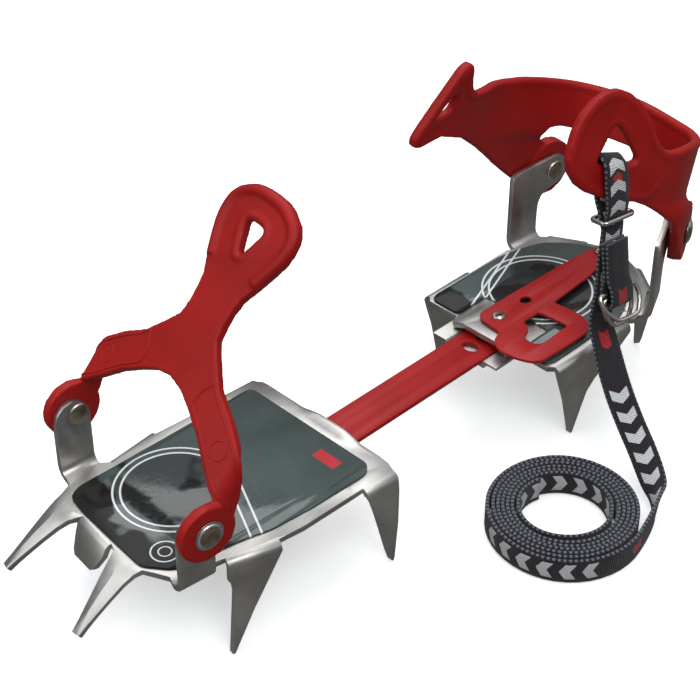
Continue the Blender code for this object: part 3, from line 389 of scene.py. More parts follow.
def cover_material(name, rings, lines, dark_end, badge=None):
    """Glossy film over matt black, with plain printed pinstripes.

    A ring is (centre, radius, half line width, whether it is filled dark), a line is (point, angle, half
    line width) and a badge is (centre, half length, half width, angle). The film ends, raggedly, at dark_end.
    """
    r = Recipe(name)
    spot = r.position()
    x, y = r.split(spot)
    white = inside = 0.0
    for (cx, cy), radius, half, filled in rings:
        far = ring_distance(r, x, y, place(cx, cy, 0.0), radius * MM)
        white = r.maths("MAXIMUM", white, band(r, far, half * MM))
        if filled:
            inside = r.span(far, 0.0001, -0.0001)
    for (cx, cy), angle, half in lines:
        far = line_distance(r, x, y, place(cx, cy, 0.0), angle)
        white = r.maths("MAXIMUM", white, band(r, far, half * MM))
    smear = r.noise(spot, scale=38.0, detail=4.0)
    film = r.ramp(smear, 0.35, (0.036, 0.052, 0.050), 0.7, (0.060, 0.078, 0.075))
    cloud = r.noise(spot, scale=19.0, detail=3.0, rough=0.6)
    past_end = r.maths("SUBTRACT", x, place(dark_end, 0.0, 0.0).x)
    depth = r.maths("ADD", cloud, r.maths("MULTIPLY", past_end, 3.2))
    base = r.mix(r.span(depth, *FILM_EDGE), (0.012, 0.012, 0.011), film)
    base = r.mix(r.maths("MULTIPLY", inside, 0.75), base, (0.008, 0.008, 0.010))
    colour = r.mix(white, base, (0.72, 0.74, 0.74))
    if badge is not None:
        (cx, cy), long, wide, angle = badge
        centre = place(cx, cy, 0.0)
        along = band(r, line_distance(r, x, y, centre, angle), wide * MM)
        across = band(r, line_distance(r, x, y, centre, angle + 90.0), long * MM)
        colour = r.mix(r.maths("MULTIPLY", along, across), colour, (0.50, 0.02, 0.025))
    r.set("Base Color", colour)
    scuff = r.noise(spot, scale=420.0, detail=5.0, rough=0.75)
    r.set("Roughness", r.span(scuff, 0.45, 0.8, 0.07, 0.3))
    r.set("Specular IOR Level", r.span(depth, *FILM_EDGE, 0.14, 0.6))
    r.set("Normal", r.bump(r.noise(spot, scale=14.0, detail=2.0), strength=0.25, distance=0.0012))
    return r.material


def stud_plastic():
    """Black moulded rubber, unevenly dull."""
    r = Recipe("stud_plastic")
    spot = r.position()
    tone = r.noise(spot, scale=120.0)
    r.set("Base Color", r.ramp(tone, 0.3, (0.012, 0.012, 0.013), 0.7, (0.03, 0.03, 0.032)))
    r.set("Roughness", r.span(r.noise(spot, scale=500.0), 0.3, 0.7, 0.3, 0.5))
    return r.material


# The weave, in metres along the band and shares of its width
RIB_PITCH = 0.00115
THREADS_ACROSS = 13.0
DASH_PITCH = 0.0026
SELVEDGE = (0.455, 0.465)
# Chevrons: slope, pitch, where the groups are counted from, their pitch, the share of it that is
# woven, the end of the first group, and the width they fade over
CHEVRON_SLOPE = 0.009
CHEVRON_PITCH = 0.0107
CHEVRON_START = 0.163
GROUP_PITCH = 0.1177
GROUP_SHARE = 6 / 11
FIRST_GROUP_END = 0.034
CHEVRON_HALF = (0.33, 0.31)
# A short bar between two groups, in shares of the group pitch and of the width
BAR_MIDDLE = 0.815
BAR_HALF_LENGTH = 0.035
BAR_HALF_WIDTH = (0.2, 0.18)


def webbing_material():
    """Ribbed webbing: UV x runs along it in metres, UV y across its width from 0 to 1."""
    r = Recipe("webbing_weave")
    along, across = r.split(r.node("ShaderNodeUVMap", uv_map="weave").outputs[0])
    rib = r.maths("SINE", r.maths("MULTIPLY", along, 2 * math.pi / RIB_PITCH))
    thread = r.maths("SINE", r.maths("MULTIPLY", across, 2 * math.pi * THREADS_ACROSS))
    weave = r.maths("MULTIPLY", rib, thread)
    edge = r.node("ShaderNodeAttribute", attribute_name="edge").outputs["Fac"]
    on_face = r.node("ShaderNodeAttribute", attribute_name="outer").outputs["Fac"]
    off_centre = r.maths("ABSOLUTE", r.maths("SUBTRACT", across, 0.5))
    fuzz = r.noise(r.position(), scale=1800.0, detail=3.0)
    tone = r.maths("ADD", r.maths("MULTIPLY", rib, 0.25), fuzz)
    body = r.ramp(tone, 0.2, (0.003, 0.0025, 0.004), 0.95, (0.022, 0.014, 0.021))
    # Pale dashes along both edges
    dash = r.span(r.maths("SINE", r.maths("MULTIPLY", along, 2 * math.pi / DASH_PITCH)), -0.15, 0.15)
    stitched = r.maths("MULTIPLY", dash, r.maths("MAXIMUM", edge, r.span(off_centre, *SELVEDGE)))
    body = r.mix(r.maths("MULTIPLY", stitched, 0.6), body, (0.20, 0.225, 0.28))
    # Plain woven chevrons in groups along both faces, with a red bar between the groups
    chevron = r.maths("ADD", along, r.maths("MULTIPLY", off_centre, CHEVRON_SLOPE))
    from_start = r.maths("SUBTRACT", chevron, CHEVRON_START)
    phase = r.maths("FRACT", r.maths("DIVIDE", from_start, GROUP_PITCH))
    block = r.maths("FRACT", r.maths("DIVIDE", from_start, CHEVRON_PITCH))
    grouped = r.maths("MAXIMUM", r.maths("LESS_THAN", phase, GROUP_SHARE),
                      r.maths("LESS_THAN", along, FIRST_GROUP_END))
    group = r.maths("MULTIPLY", grouped, r.span(block, 0.5, 0.54))
    knots = r.span(weave, -0.9, -0.5, 0.35, 1.0)
    white = r.maths("MULTIPLY", r.maths("MULTIPLY", group, r.span(off_centre, *CHEVRON_HALF)),
                    r.maths("MULTIPLY", on_face, knots))
    off_bar = r.maths("ABSOLUTE", r.maths("SUBTRACT", phase, BAR_MIDDLE))
    in_bar = r.maths("LESS_THAN", off_bar, BAR_HALF_LENGTH)
    bar = r.maths("MULTIPLY", in_bar, r.span(off_centre, *BAR_HALF_WIDTH))
    body = r.mix(r.maths("MULTIPLY", bar, knots), body, (0.42, 0.012, 0.014))
    r.set("Base Color", r.mix(white, body, (0.66, 0.67, 0.68)))
    r.set("Roughness", 0.82)
    r.set("Sheen Weight", 0.15)
    height = r.maths("ADD", r.maths("MULTIPLY", rib, 0.8), r.maths("MULTIPLY", weave, 0.5))
    height = r.maths("ADD", height, r.maths("MULTIPLY", stitched, 1.6))
    r.set("Normal", r.bump(height, strength=0.8, distance=0.00025))
    return r.material


# Frame pieces that stay, with rounded edges

BEVEL_SEGMENTS = 2
BEVEL_FROM = math.radians(34.0)


def finish_piece(name, width, materials):
    """Rounds a CAD piece's edges and paints it: a second material goes on the rounded edges, where it paints
    a highlight.
    """
    obj = NODES[name]
    weld = obj.modifiers.new("Weld", "WELD")
    weld.merge_threshold = WELD
    bevel = obj.modifiers.new("Bevel", "BEVEL")
    bevel.width = width * MM
    bevel.segments = BEVEL_SEGMENTS
    bevel.limit_method = "ANGLE"
    bevel.angle_limit = BEVEL_FROM
    bevel.harden_normals = True
    bevel.material = len(materials) - 1 if len(materials) > 1 else -1
    obj.data.shade_smooth()
    obj.data.materials.clear()
    for material in materials:
        obj.data.materials.append(material)
    for polygon in obj.data.polygons:
        polygon.material_index = 0


# Curves and bars


def smooth(t):
    """Rises from 0 to 1 with level ends as t goes from 0 to 1."""
    t = min(1.0, max(0.0, t))
    return t * t * (3 - 2 * t)


def catmull(points, steps):
    """Points on a Catmull-Rom curve through the given ones, with its ends on the first and the last."""
    padded = [points[0]] + list(points) + [points[-1]]
    result = []
    for k in range(len(points) - 1):
        p0, p1, p2, p3 = padded[k:k + 4]
        for step in range(steps):
            t = step / steps
            result.append(0.5 * (2 * p1 + (p2 - p0) * t + (2 * p0 - 5 * p1 + 4 * p2 - p3) * t * t
                                 + (3 * p1 - p0 - 3 * p2 + p3) * t**3))
    result.append(points[-1])
    return result


def measured_curve(points, steps=6):
    """A smooth curve in plan as (length so far, point) pairs."""
    samples = catmull([Vector(point) for point in points], steps)
    lengths = [0.0]
    for a, b in zip(samples, samples[1:]):
        lengths.append(lengths[-1] + (b - a).length)
    return list(zip(lengths, samples))


def along_curve(curve, length):
    for (l0, p0), (l1, p1) in zip(curve, curve[1:]):
        if length <= l1:
            break
    return p0.lerp(p1, (length - l0) / (l1 - l0))


def length_at(curve, u):
    """The length along the curve where its first coordinate is u."""
    for (l0, p0), (l1, p1) in zip(curve, curve[1:]):
        if p1.x >= u:
            break
    return l0 + (l1 - l0) * (u - p0.x) / (p1.x - p0.x)


def resample(points, step, closed):
    """Points at even steps along a polyline in the pattern plane."""
    result = []
    for a, b in zip(points, points[1:] + points[:1] if closed else points[1:]):
        a, b = Vector(a), Vector(b)
        count = max(1, round((b - a).length / step))
        for k in range(count):
            result.append(a.lerp(b, k / count))
    if not closed:
        result.append(Vector(points[-1]))
    return result


def inset(points, distance, closed):
    """Moves each point to the left of the line's direction."""
    result = []
    count = len(points)
    for k, point in enumerate(points):
        before = points[k - 1] if closed or k else point
        after = points[(k + 1) % count] if closed or k < count - 1 else point
        along = (after - before).normalized()
        result.append(point + Vector((-along.y, along.x)) * distance)
    return result


def smoothed(points, closed, rounds):
    count = len(points)
    for _ in range(rounds):
        new = []
        for k in range(count):
            if not closed and k in (0, count - 1):
                new.append(points[k])
            else:
                new.append((points[k - 1] + points[k] * 2 + points[(k + 1) % count]) / 4)
        points = new
    return points


def add_tube(bm, points, radius, sides=10):
    """A capped round bar along points in metres."""
    rings = []
    first = None
    for k, point in enumerate(points):
        before = points[k - 1] if k else point
        after = points[k + 1] if k < len(points) - 1 else point
        along = (after - before).normalized()
        if first is None:
            first = along.orthogonal().normalized()
        else:
            first = (first - along * first.dot(along)).normalized()
        second = along.cross(first)
        ring = []
        for j in range(sides):
            turn = 2 * math.pi * j / sides
            ring.append(bm.verts.new(point + (first * math.cos(turn) + second * math.sin(turn)) * radius))
        rings.append(ring)
    for a, b in zip(rings, rings[1:]):
        for j in range(sides):
            n = (j + 1) % sides
            bm.faces.new([a[j], a[n], b[n], b[j]])
    bm.faces.new(list(reversed(rings[0])))
    bm.faces.new(rings[-1])


# Moulded bindings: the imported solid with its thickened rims, as one smooth casting

HEEL_CENTRE = Vector((112.5, 0.5, 84.0))
HEEL_PITCH = math.radians(20.0)
# The band in plan, from the near ear round the heel to the far ear, then its lower edge on each side
HEEL_PATH = [
    (-112.0, -34.0), (-95.0, -38.2), (-80.0, -41.2), (-60.0, -44.8), (-36.0, -47.6), (-20.0, -46.0),
    (-5.0, -40.0), (6.0, -29.0), (12.0, -14.0), (13.6, 0.5), (12.0, 15.0), (6.0, 30.0),
    (-5.0, 41.0), (-20.0, 46.8), (-36.0, 48.4), (-60.0, 47.8), (-90.0, 45.6), (-120.0, 43.0),
]
HEEL_LOW = {
    "near": [(-112.0, -34.0), (-95.0, -38.2), (-80.0, -41.2), (-60.0, -44.8), (-36.0, -49.2), (-22.0, -50.6),
             (-10.0, -46.9), (1.0, -40.7), (16.0, -33.2)],
    "far": [(-120.0, 43.0), (-90.0, 45.6), (-60.0, 48.6), (-36.0, 50.8), (-22.0, 50.6), (-10.0, 49.8),
            (1.0, 48.8), (18.0, 46.8)],
}
HIGH = measured_curve(HEEL_PATH)
LOWS = {side: measured_curve(points) for side, points in HEEL_LOW.items()}
TOTAL = HIGH[-1][0]
LOW_REACH = 150.0
# Up to LOW_END the band follows its lower edge, and from LOW_BLEND above that the path
LOW_END, LOW_BLEND = 15.0, 8.0
# Above LEAN_FOOT the ears lean inwards by EAR_LEAN in LEAN_HEIGHT, from LEAN_START forward of the centre
EAR_LEAN, LEAN_FOOT, LEAN_HEIGHT = 7.0, 11.0, 55.0
LEAN_START, LEAN_BLEND = 60.0, 30.0

# Outlines in the flat pattern, as (place along the foot from the heel's centre, height)
NEAR_EAR = [
    (-44.0, 48.2), (-50.0, 48.6), (-57.5, 52.8), (-63.0, 59.0), (-68.0, 65.8), (-73.7, 71.6),
    (-79.0, 74.8), (-85.6, 75.8), (-92.5, 73.8), (-97.7, 70.5), (-101.3, 66.3), (-104.7, 61.6),
    (-107.0, 55.0), (-108.2, 47.0), (-108.0, 40.5), (-105.7, 35.0), (-100.0, 29.4), (-92.7, 26.0),
    (-84.0, 24.1), (-72.0, 23.2), (-61.0, 22.4), (-53.0, 22.5), (-47.0, 29.0), (-43.0, 38.0),
]
NEAR_EYELET = [(-83.0, 61.0), (-91.5, 39.0), (-66.0, 42.5)]
FAR_EAR = [
    (-85.0, 47.4), (-90.6, 51.0), (-94.5, 58.0), (-97.2, 64.5), (-100.5, 66.5), (-104.0, 63.5),
    (-111.0, 45.5), (-117.0, 24.0), (-116.4, 19.4), (-111.0, 18.5), (-97.0, 23.6),
]
FAR_EYELET = [(-100.5, 53.5), (-111.0, 33.0), (-97.0, 38.0)]
NEAR_TOP_EDGE = [(-44.0, 48.0), (-31.0, 50.2), (-20.0, 51.0)]
FAR_TOP_EDGE = [(-20.0, 50.5), (-45.0, 51.0), (-70.0, 50.0), (-80.0, 47.6), (-85.0, 47.4)]

# What the sweep below does, in millimetres
FAR_EAR_FORWARD = 11.0
FAR_EAR_LIFT = 5.0
CORNER_TUCK = 3.5

RIM_STEP = 2.0
MOULD_SOFTNESS = 0.6
MOULD_ROUNDS = 5


def heel_map(p, v):
    """A point of the heel binding's flat pattern in the frame: p along it, v up it."""
    near = p < TOTAL / 2
    from_end = p if near else TOTAL - p
    top = along_curve(HIGH, p)
    low = along_curve(LOWS["near" if near else "far"], min(from_end, LOW_REACH))
    spot = low.lerp(top, smooth((v - LOW_END) / LOW_BLEND))
    side = -1.0 if near else 1.0
    lean = EAR_LEAN * max(0.0, (v - LEAN_FOOT) / LEAN_HEIGHT) * smooth((-spot.x - LEAN_START) / LEAN_BLEND)
    cos, sin = math.cos(HEEL_PITCH), math.sin(HEEL_PITCH)
    forward = HEEL_CENTRE.x + cos * spot.x + sin * v
    return place(forward, spot.y - side * lean, HEEL_CENTRE.z - sin * spot.x + cos * v)


def on_side(side, points):
    """Pattern points given by their place along the foot, in the full pattern."""
    spots = []
    for u, v in points:
        from_end = length_at(LOWS[side], u)
        spots.append(Vector((from_end if side == "near" else TOTAL - from_end, v)))
    return spots


def heel_rim(points, closed, offset, radius, rounds=3):
    spots = smoothed(inset(resample(points, RIM_STEP, closed), offset, closed), closed, rounds)
    return [heel_map(spot.x, spot.y) for spot in spots], radius * MM, closed


def heel_rims():
    """Raised rims round the ears and the eyelets, and along the top edge of the heel binding."""
    top = on_side("near", NEAR_TOP_EDGE) + on_side("far", FAR_TOP_EDGE)
    return [
        heel_rim(on_side("near", NEAR_EAR), True, 2.9, 3.1),
        heel_rim(on_side("near", NEAR_EYELET), True, -2.6, 2.9, 4),
        heel_rim(on_side("far", FAR_EAR), False, -2.6, 3.3),
        heel_rim(on_side("far", FAR_EYELET), True, 2.3, 2.8, 4),
        heel_rim(top, False, -2.4, 2.9),
    ]


def heel_sweep(p):
    """The far ear reaches further forward and a little higher, and the near rear corner is tucked in."""
    x, y, z = (p[k] / MM - SHIFT[k] for k in range(3))
    ear = smooth((72.0 - x) / 50.0) * smooth((y - 5.0) / 25.0)
    tuck = CORNER_TUCK * smooth((x - 85.0) / 35.0) * smooth((20.0 - y) / 40.0) * smooth((z - 95.0) / 25.0)
    lift = FAR_EAR_LIFT * ear * smooth((172.0 - z) / 30.0)
    return Vector((p.x - (FAR_EAR_FORWARD * ear + tuck) * MM, p.y + 0.5 * tuck * MM, p.z + lift * MM))


TOE_HINGE = Vector((-197.9, 19.1, 78.0))
TOE_TURN = math.radians(6.5)
TOE_ACROSS = Vector((math.sin(TOE_TURN), math.cos(TOE_TURN), 0.0))
TOE_BACK = Vector((math.cos(TOE_TURN), -math.sin(TOE_TURN), 0.0))
TOE_NECK = (46.0, 71.4)
TOE_BINDING_TILT = math.radians(50.0)
TOE_CROWN = 0.0018
TOE_FOLD_START = 49.4
TOE_FOLD_RADIUS = 7.0
# Outlines in the flat pattern, as (across, up); the head's is its right half
TOE_HEAD = [(17.5, 12.0), (21.0, 20.0), (24.0, 28.0), (24.6, 34.0), (23.7, 40.0), (20.0, 45.0),
            (13.0, 49.0), (8.0, 50.5), (0.0, 51.0)]
TOE_EYELET = [(0.0, 18.0), (7.3, 35.5), (-7.3, 35.5)]
TOE_RIM_DEPTH = 1.6
ARM_LINES = [
    [(24.5, -29.8), (28.5, -34.0), (40.0, -41.2), (49.0, -48.2), (53.0, -52.5), (57.5, -58.0),
     (61.5, -66.0), (62.5, -71.0)],
    [(24.5, -29.8), (20.0, -36.0), (19.0, -43.6), (30.0, -50.6), (40.0, -58.8), (47.5, -64.8),
     (55.5, -69.0), (62.5, -71.0)],
]
ARM_LINE_RADIUS = 0.5
ARM_LINE_DEPTH = 0.1
GATE_SPOT = (43.0, -51.5)
GATE_RADIUS = 4.2
GATE_LINE_RADIUS = 0.35
GATE_STEPS = 36


def toe_map(x, y, depth):
    """A point of the toe binding's flat pattern in the frame, at a depth below its outer face."""
    width = abs(x)
    start = math.atan(2 * TOE_CROWN * TOE_FOLD_START)
    flat = min(width, TOE_FOLD_START)
    turn = min(math.pi / 2 - start, max(0.0, (width - TOE_FOLD_START) / TOE_FOLD_RADIUS))
    reach = flat + TOE_FOLD_RADIUS * (math.sin(start + turn) - math.sin(start))
    drop = TOE_CROWN * flat * flat + TOE_FOLD_RADIUS * (math.cos(start) - math.cos(start + turn))
    drop += max(0.0, width - TOE_FOLD_START - TOE_FOLD_RADIUS * (math.pi / 2 - start)) + depth
    cos, sin = math.cos(TOE_BINDING_TILT), math.sin(TOE_BINDING_TILT)
    back = TOE_NECK[0] + cos * y + sin * drop
    up = TOE_NECK[1] + sin * y - cos * drop
    across = math.copysign(reach, x)
    return place(*(TOE_HINGE + TOE_ACROSS * across + TOE_BACK * back + Vector((0.0, 0.0, up))))


def toe_rims():
    """Raised rims round the head and the eyelet of the toe binding."""
    head = TOE_HEAD + [(-x, y) for x, y in reversed(TOE_HEAD[:-1])]
    bars = []
    for points, closed, offset, radius in ((head, False, 2.7, 3.1), (TOE_EYELET, True, -2.4, 2.5)):
        spots = smoothed(inset(resample(points, RIM_STEP, closed), offset, closed), closed, 3)
        bars.append(([toe_map(spot.x, spot.y, TOE_RIM_DEPTH) for spot in spots], radius * MM, closed))
    return bars


def arm_lines():
    """Fine moulded lines along both edges of each toe arm, and a plain gate mark between them."""
    for side, name in ((-1, "toe_arm_lines_near"), (1, "toe_arm_lines_far")):
        bm = bmesh.new()
        for line in ARM_LINES:
            spots = smoothed(resample([(side * x, y) for x, y in line], 1.5, False), False, 4)
            bead = [toe_map(spot.x, spot.y, ARM_LINE_DEPTH) for spot in spots]
            add_tube(bm, bead, ARM_LINE_RADIUS * MM, 8)
        gate = []
        for k in range(GATE_STEPS + 1):
            turn = k * math.pi / (GATE_STEPS / 2)
            x = side * GATE_SPOT[0] + GATE_RADIUS * math.cos(turn)
            gate.append(toe_map(x, GATE_SPOT[1] + GATE_RADIUS * math.sin(turn), ARM_LINE_DEPTH))
        add_tube(bm, gate, GATE_LINE_RADIUS * MM, 8)
        obj = add_object(name, bm, RED)
        obj.data.shade_smooth()
        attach(obj, "toe_binding")


def moulded(name, node, bars, voxel, warp=None):
    """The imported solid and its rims, fused and softened. It rides on the body of the same name."""
    bm = bmesh.new()
    bm.from_mesh(NODES[node].data)
    bmesh.ops.remove_doubles(bm, verts=bm.verts, dist=WELD)
    for points, radius, closed in bars:
        # A closed rim runs two points past its start, so that its caps lie inside it
        add_tube(bm, points + points[:2] if closed else points, radius)
    if warp:
        for vert in bm.verts:
            vert.co = warp(vert.co)
    for face in bm.faces:
        face.material_index = 0
    obj = add_object(name, bm, RED)
    fused = obj.modifiers.new("Fuse", "REMESH")
    fused.mode = "VOXEL"
    fused.voxel_size = voxel * MM
    fused.use_smooth_shade = True
    soft = obj.modifiers.new("Soften", "SMOOTH")
    soft.factor = MOULD_SOFTNESS
    soft.iterations = MOULD_ROUNDS
    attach(obj, node)
    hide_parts(node)


# Webbing and its wire keeper

STRAP_THICK = 1.7
STRAP_WIDTH = 14.0
STRAP_ACROSS = Vector((0.985, -0.17, 0.0))
# The width's direction at the top of the loop, and where the strap faces forward on its way down
LOOP_ACROSS = Vector((0.93, -0.25, -0.28))
FACING = Vector((0.82, -0.46, 0.34))
EAR_BAR = Vector((50.0, -39.4, 141.0))
EAR_UP = Vector((0.02, 0.2, 0.98))
EAR_OUT = Vector((-0.26, -0.965, 0.0))
# The sewn loop over the ear's bar, as (outwards, up) from the bar, from its short end
EAR_LOOP = [(2.1, -20.5), (3.0, -16.0), (4.9, -10.0), (5.5, 0.0), (5.6, 9.0), (3.2, 12.2), (0.0, 13.2),
            (-2.8, 11.8), (-5.0, 8.6), (-5.0, 0.0), (-4.4, -10.0), (-2.4, -16.0), (-1.6, -21.0)]
# Each stop of the hanging stretch: its middle, how far it turns to face forward, how far it stands on edge
STRAP_DROP = [
    ((49.5, -43.8, 116.0), 0.0, 0.0), ((47.5, -44.6, 100.0), 0.0, 0.0), ((46.2, -45.6, 82.0), 0.0, 0.0),
    ((44.2, -46.4, 66.0), 0.15, 0.0), ((40.4, -53.8, 56.0), 0.4, 0.0), ((34.7, -63.0, 48.5), 0.8, 0.0),
    ((30.2, -72.5, 40.0), 1.0, 0.0), ((26.6, -83.1, 30.5), 1.0, 0.0), ((23.4, -93.5, 22.0), 1.0, 0.1),
    ((19.6, -102.8, 14.5), 1.0, 0.35), ((14.9, -110.7, 9.5), 1.0, 0.65), ((6.0, -116.4, 7.8), 1.0, 0.92),
    ((-4.9, -120.6, 7.3), 1.0, 1.0),
]
STRAP_STEPS = 7
ROLL_CENTRE = Vector((-26.9, -86.8, -0.499))
ROLL_TURNS = 6.6
ROLL_STEPS = 44
ROLL_START = math.radians(-72.0)
ROLL_ENTRY = 38.6
ROLL_OUTER = 37.4
ROLL_INNER = 22.2
# The start of the roll stands off it, and its end is pressed inwards
ROLL_SLACK, SLACK_FALL = 1.2, 9.0
ROLL_DENT, DENT_START = 1.6, 0.86
# Added once at the roll's entry and again along its turns, so that their wobble stays off the floor
ROLL_FLOOR_GAP = 0.3
# The tab's top, how far outwards it runs in how much height, and its section as (inwards, height)
TAB_TOP = (46.8, -47.9, 112.0)
TAB_LEAN = (4.7, 30.0)
TAB_PROFILE = [(-1.3, 112.5), (-1.3, 104.0), (-1.3, 93.0), (-3.1, 88.0), (-3.3, 82.0), (-1.8, 78.6),
               (0.0, 77.8), (1.8, 78.6), (3.3, 82.0), (3.1, 88.0), (1.3, 93.0), (1.2, 104.0), (1.0, 112.5)]
TAB_STEPS = 4
# Where the tab's weave starts, so that a group of chevrons shows on it
TAB_WEAVE_START = 0.228
KEEPER_DROP = 18.5
KEEPER_HALF_WIDTH = 9.3
KEEPER_HALF_DEPTH = 4.9
KEEPER_CORNER = 2.4
KEEPER_RADIUS = 1.25
KEEPER_STEPS = 48


def strap_spots():
    """Centre and width direction of the long strap, from its sewn end over the ear to the roll's middle."""
    keys = []
    for out, up in EAR_LOOP:
        across = STRAP_ACROSS.lerp(LOOP_ACROSS, smooth((up + 14.0) / 14.0))
        keys.append((EAR_BAR + EAR_OUT * out + EAR_UP * up, across))
    for centre, turn, edge in STRAP_DROP:
        keys.append((Vector(centre), STRAP_ACROSS.lerp(FACING, turn).lerp(UP, edge)))
    half = STRAP_WIDTH / 2 + ROLL_FLOOR_GAP
    entry = Vector((math.cos(ROLL_START) * ROLL_ENTRY, math.sin(ROLL_START) * ROLL_ENTRY, half))
    keys.append((ROLL_CENTRE + entry, UP))
    centres = catmull([centre for centre, _ in keys], STRAP_STEPS)
    acrosses = catmull([across.normalized() for _, across in keys], STRAP_STEPS)
    spots = list(zip(centres, acrosses))
    count = int(ROLL_TURNS * ROLL_STEPS)
    for k in range(1, count + 1):
        t = k / count
        angle = ROLL_START - 2 * math.pi * ROLL_TURNS * t
        radius = ROLL_OUTER + (ROLL_INNER - ROLL_OUTER) * t
        radius += ROLL_SLACK * max(0.0, 1.0 - SLACK_FALL * t)
        if t > DENT_START:
            radius -= ROLL_DENT * math.sin((t - DENT_START) / (1.0 - DENT_START) * math.pi) ** 2
        wobble = 0.25 * math.sin(3.1 * angle) + 0.2 * math.sin(1.7 * angle + 1.0)
        height = half + ROLL_FLOOR_GAP + wobble
        spots.append((ROLL_CENTRE + Vector((math.cos(angle) * radius, math.sin(angle) * radius, height)), UP))
    return spots


def webbing_section(width):
    """The band's section as (across, out) points, and which of its sides are on the rounded selvedges."""
    w, t = width / 2, STRAP_THICK / 2
    crown, shoulder = t * 1.02, t * 0.35
    section = [
        (-w + 0.5, -t), (-w / 3, -crown), (w / 3, -crown), (w - 0.5, -t), (w, -shoulder), (w, shoulder),
        (w - 0.5, t), (w / 3, crown), (-w / 3, crown), (-w + 0.5, t), (-w, shoulder), (-w, -shoulder),
    ]
    return section, {3, 4, 5, 9, 10, 11}


def webbing(name, spots, width, start=0.0):
    """A flat woven band with a UV map in metres along it. Returns it and its length in metres."""
    section, selvedges = webbing_section(width)
    bm = bmesh.new()
    uv_layer = bm.loops.layers.uv.new("weave")
    edge_layer = bm.faces.layers.float.new("edge")
    outer_layer = bm.faces.layers.float.new("outer")
    rings, lengths, total = [], [], 0.0
    centres = [centre for centre, _ in spots]
    for k, (centre, across) in enumerate(spots):
        before = centres[max(0, k - 1)]
        after = centres[min(len(centres) - 1, k + 1)]
        along = (after - before).normalized()
        across = (across - along * across.dot(along)).normalized()
        out = across.cross(along)
        if k:
            total += (centre - centres[k - 1]).length
        lengths.append(total)
        rings.append([bm.verts.new(place(*(centre + across * w + out * t))) for w, t in section])
    sides = len(section)
    for k in range(len(rings) - 1):
        for j in range(sides):
            n = (j + 1) % sides
            face = bm.faces.new([rings[k][j], rings[k][n], rings[k + 1][n], rings[k + 1][j]])
            face.smooth = True
            face[edge_layer] = 1.0 if j in selvedges else 0.0
            face[outer_layer] = 0.0 if j in selvedges else 1.0
            spans = (lengths[k], lengths[k], lengths[k + 1], lengths[k + 1])
            for loop, length, corner in zip(face.loops, spans, (j, n, n, j)):
                loop[uv_layer].uv = (start + length * MM, section[corner][0] / width + 0.5)
    bm.faces.new(list(reversed(rings[0])))
    bm.faces.new(rings[-1])
    bmesh.ops.recalc_face_normals(bm, faces=bm.faces)
    return add_object(name, bm, WEBBING), total * MM


def long_strap():
    obj, length = webbing("strap_webbing", strap_spots(), STRAP_WIDTH)
    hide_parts("strap_loop", "strap_drop", "strap_roll")
    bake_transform(obj)


def keeper():
    """The wire keeper, bent closely round both layers of the strap."""
    middle = EAR_BAR - EAR_UP * KEEPER_DROP
    side = STRAP_ACROSS.normalized()
    out = side.cross(EAR_UP).normalized()
    points = []
    for k in range(KEEPER_STEPS):
        turn = 2 * math.pi * k / KEEPER_STEPS
        cos, sin = math.cos(turn), math.sin(turn)
        x = math.copysign(KEEPER_HALF_WIDTH - KEEPER_CORNER, cos) + KEEPER_CORNER * cos
        y = math.copysign(KEEPER_HALF_DEPTH - KEEPER_CORNER, sin) + KEEPER_CORNER * sin
        points.append(place(*(middle + side * x + out * y)))
    bm = bmesh.new()
    add_tube(bm, points + points[:1], KEEPER_RADIUS * MM, 16)
    obj = add_object("strap_keeper", bm, RIVET)
    obj.data.shade_smooth()
    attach(obj, "keeper_ring")
    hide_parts("keeper_ring")


def ring_tab():
    """The sewn tab in front of the strap, folded round the bars of the two rings."""
    keys = []
    for inwards, z in TAB_PROFILE:
        lean = TAB_LEAN[0] * (TAB_TOP[2] - z) / TAB_LEAN[1]
        keys.append(Vector((TAB_TOP[0], TAB_TOP[1] - lean + inwards, z)))
    spots = [(centre, STRAP_ACROSS) for centre in catmull(keys, TAB_STEPS)]
    obj, length = webbing("strap_ring_tab", spots, STRAP_WIDTH, TAB_WEAVE_START)
    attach(obj, "heel_binding")
    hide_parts("strap_end")


make_camera()
make_world()
area_light("key", (-0.5, -1.1, 1.6), 1.1, 13.0)
area_light("fill", (-1.5, 0.4, 1.1), 1.3, 7.0, (0.96, 0.98, 1.0))
area_light("top", (0.5, 0.6, 1.8), 1.2, 12.0)
make_floor()
make_backdrop()

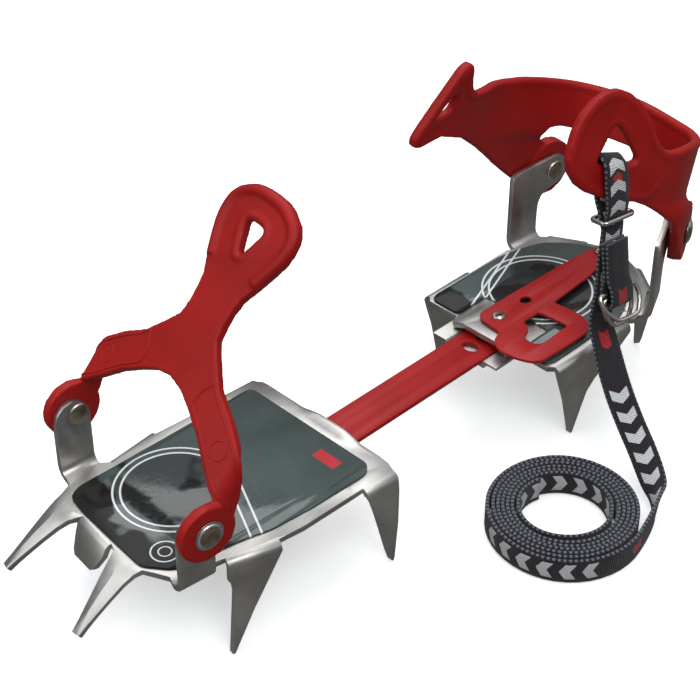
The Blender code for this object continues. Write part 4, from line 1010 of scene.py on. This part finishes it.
STEEL = steel_material("tumbled_steel", (0.64, 0.62, 0.595), (0.36, 0.345, 0.325), 0.32, 0.5, 0.8)
RIVET = steel_material("polished_steel", (0.60, 0.575, 0.54), (0.33, 0.30, 0.27), 0.12, 0.24, 0.3)
# A pale steel for the rounded edges: a painted highlight where the edges would catch the lamps
EDGE_HIGHLIGHT = steel_material("painted_highlight_edge", (0.95, 0.94, 0.92), (0.80, 0.79, 0.77), 0.3, 0.42, 0.3)
RED = red_moulding()
PAINT = red_paint()
STUD = stud_plastic()
WEBBING = webbing_material()
FRONT_COVER = cover_material(
    "front_cover_film",
    rings=[((-175.0, 22.0), 25.0, 0.5, True), ((-175.0, 22.0), 28.5, 0.5, False),
           ((-205.0, -6.0), 6.4, 0.35, False), ((-205.0, -6.0), 3.0, 0.3, False)],
    lines=[((-150.0, 20.0), 64.0, 0.5), ((-144.0, 20.0), 64.0, 0.5)],
    dark_end=-178.0,
    badge=((-112.0, -12.0), 7.0, 3.2, 90.0),
)
HEEL_COVER = cover_material(
    "heel_cover_film",
    rings=[((62.0, 6.0), 27.0, 0.5, True), ((62.0, 6.0), 30.5, 0.5, False)],
    lines=[((48.0, 30.0), 20.0, 0.5), ((52.0, 27.0), 20.0, 0.5)],
    dark_end=20.0,
)
TOE_RIVET = rivet_material("toe_rivet_metal", place(*TOE_HINGE), TOE_ACROSS)
HEEL_HINGE = next(joint for joint in frame["joints"] if joint["name"] == "heel_hinge")
HEEL_RIVETS = {side: rivet_material("heel_rivet_metal_" + side, HEEL_HINGE["pos_m"], HEEL_HINGE["axis"])
               for side in ("near", "far")}

# Rounding in millimetres, materials and the pieces that get them
FINISHES = [
    # The plates and the guide carry the painted edge highlight on their rounded edges
    (0.45, (STEEL, EDGE_HIGHLIGHT), ("front_plate", "heel_plate")),
    (0.35, (STEEL, EDGE_HIGHLIGHT), ("bar_guide",)),
    (0.35, (PAINT,), ("linking_bar", "lock_lever")),
    (0.25, (FRONT_COVER,), ("front_cover",)),
    (0.25, (HEEL_COVER,), ("heel_cover",)),
    (0.2, (STUD,), ("front_under_plate", "heel_under_plate", "front_stud_1", "front_stud_2", "front_stud_3",
                    "heel_stud_1", "heel_stud_2")),
    (0.12, (RIVET,), ("bar_pivot_rivet", "guide_rivet_1", "guide_rivet_2", "toe_washer_near",
                      "toe_washer_far", "heel_washer_near", "heel_washer_far", "lever_rivet",
                      "lever_spacer", "lock_pin")),
    (0.12, (TOE_RIVET,), ("toe_rivet_near", "toe_rivet_far")),
    (0.12, (HEEL_RIVETS["near"],), ("heel_rivet_near",)),
    (0.12, (HEEL_RIVETS["far"],), ("heel_rivet_far",)),
    (0.1, (RIVET,), ("d_ring_a", "d_ring_b")),
]
for rounding, materials, names in FINISHES:
    for name in names:
        finish_piece(name, rounding, materials)

moulded("toe_binding_moulding", "toe_binding", toe_rims(), 0.7)
arm_lines()
moulded("heel_binding_moulding", "heel_binding", heel_rims(), 0.75, heel_sweep)
long_strap()
keeper()
ring_tab()

bpy.context.scene.view_settings.view_transform = "Standard"
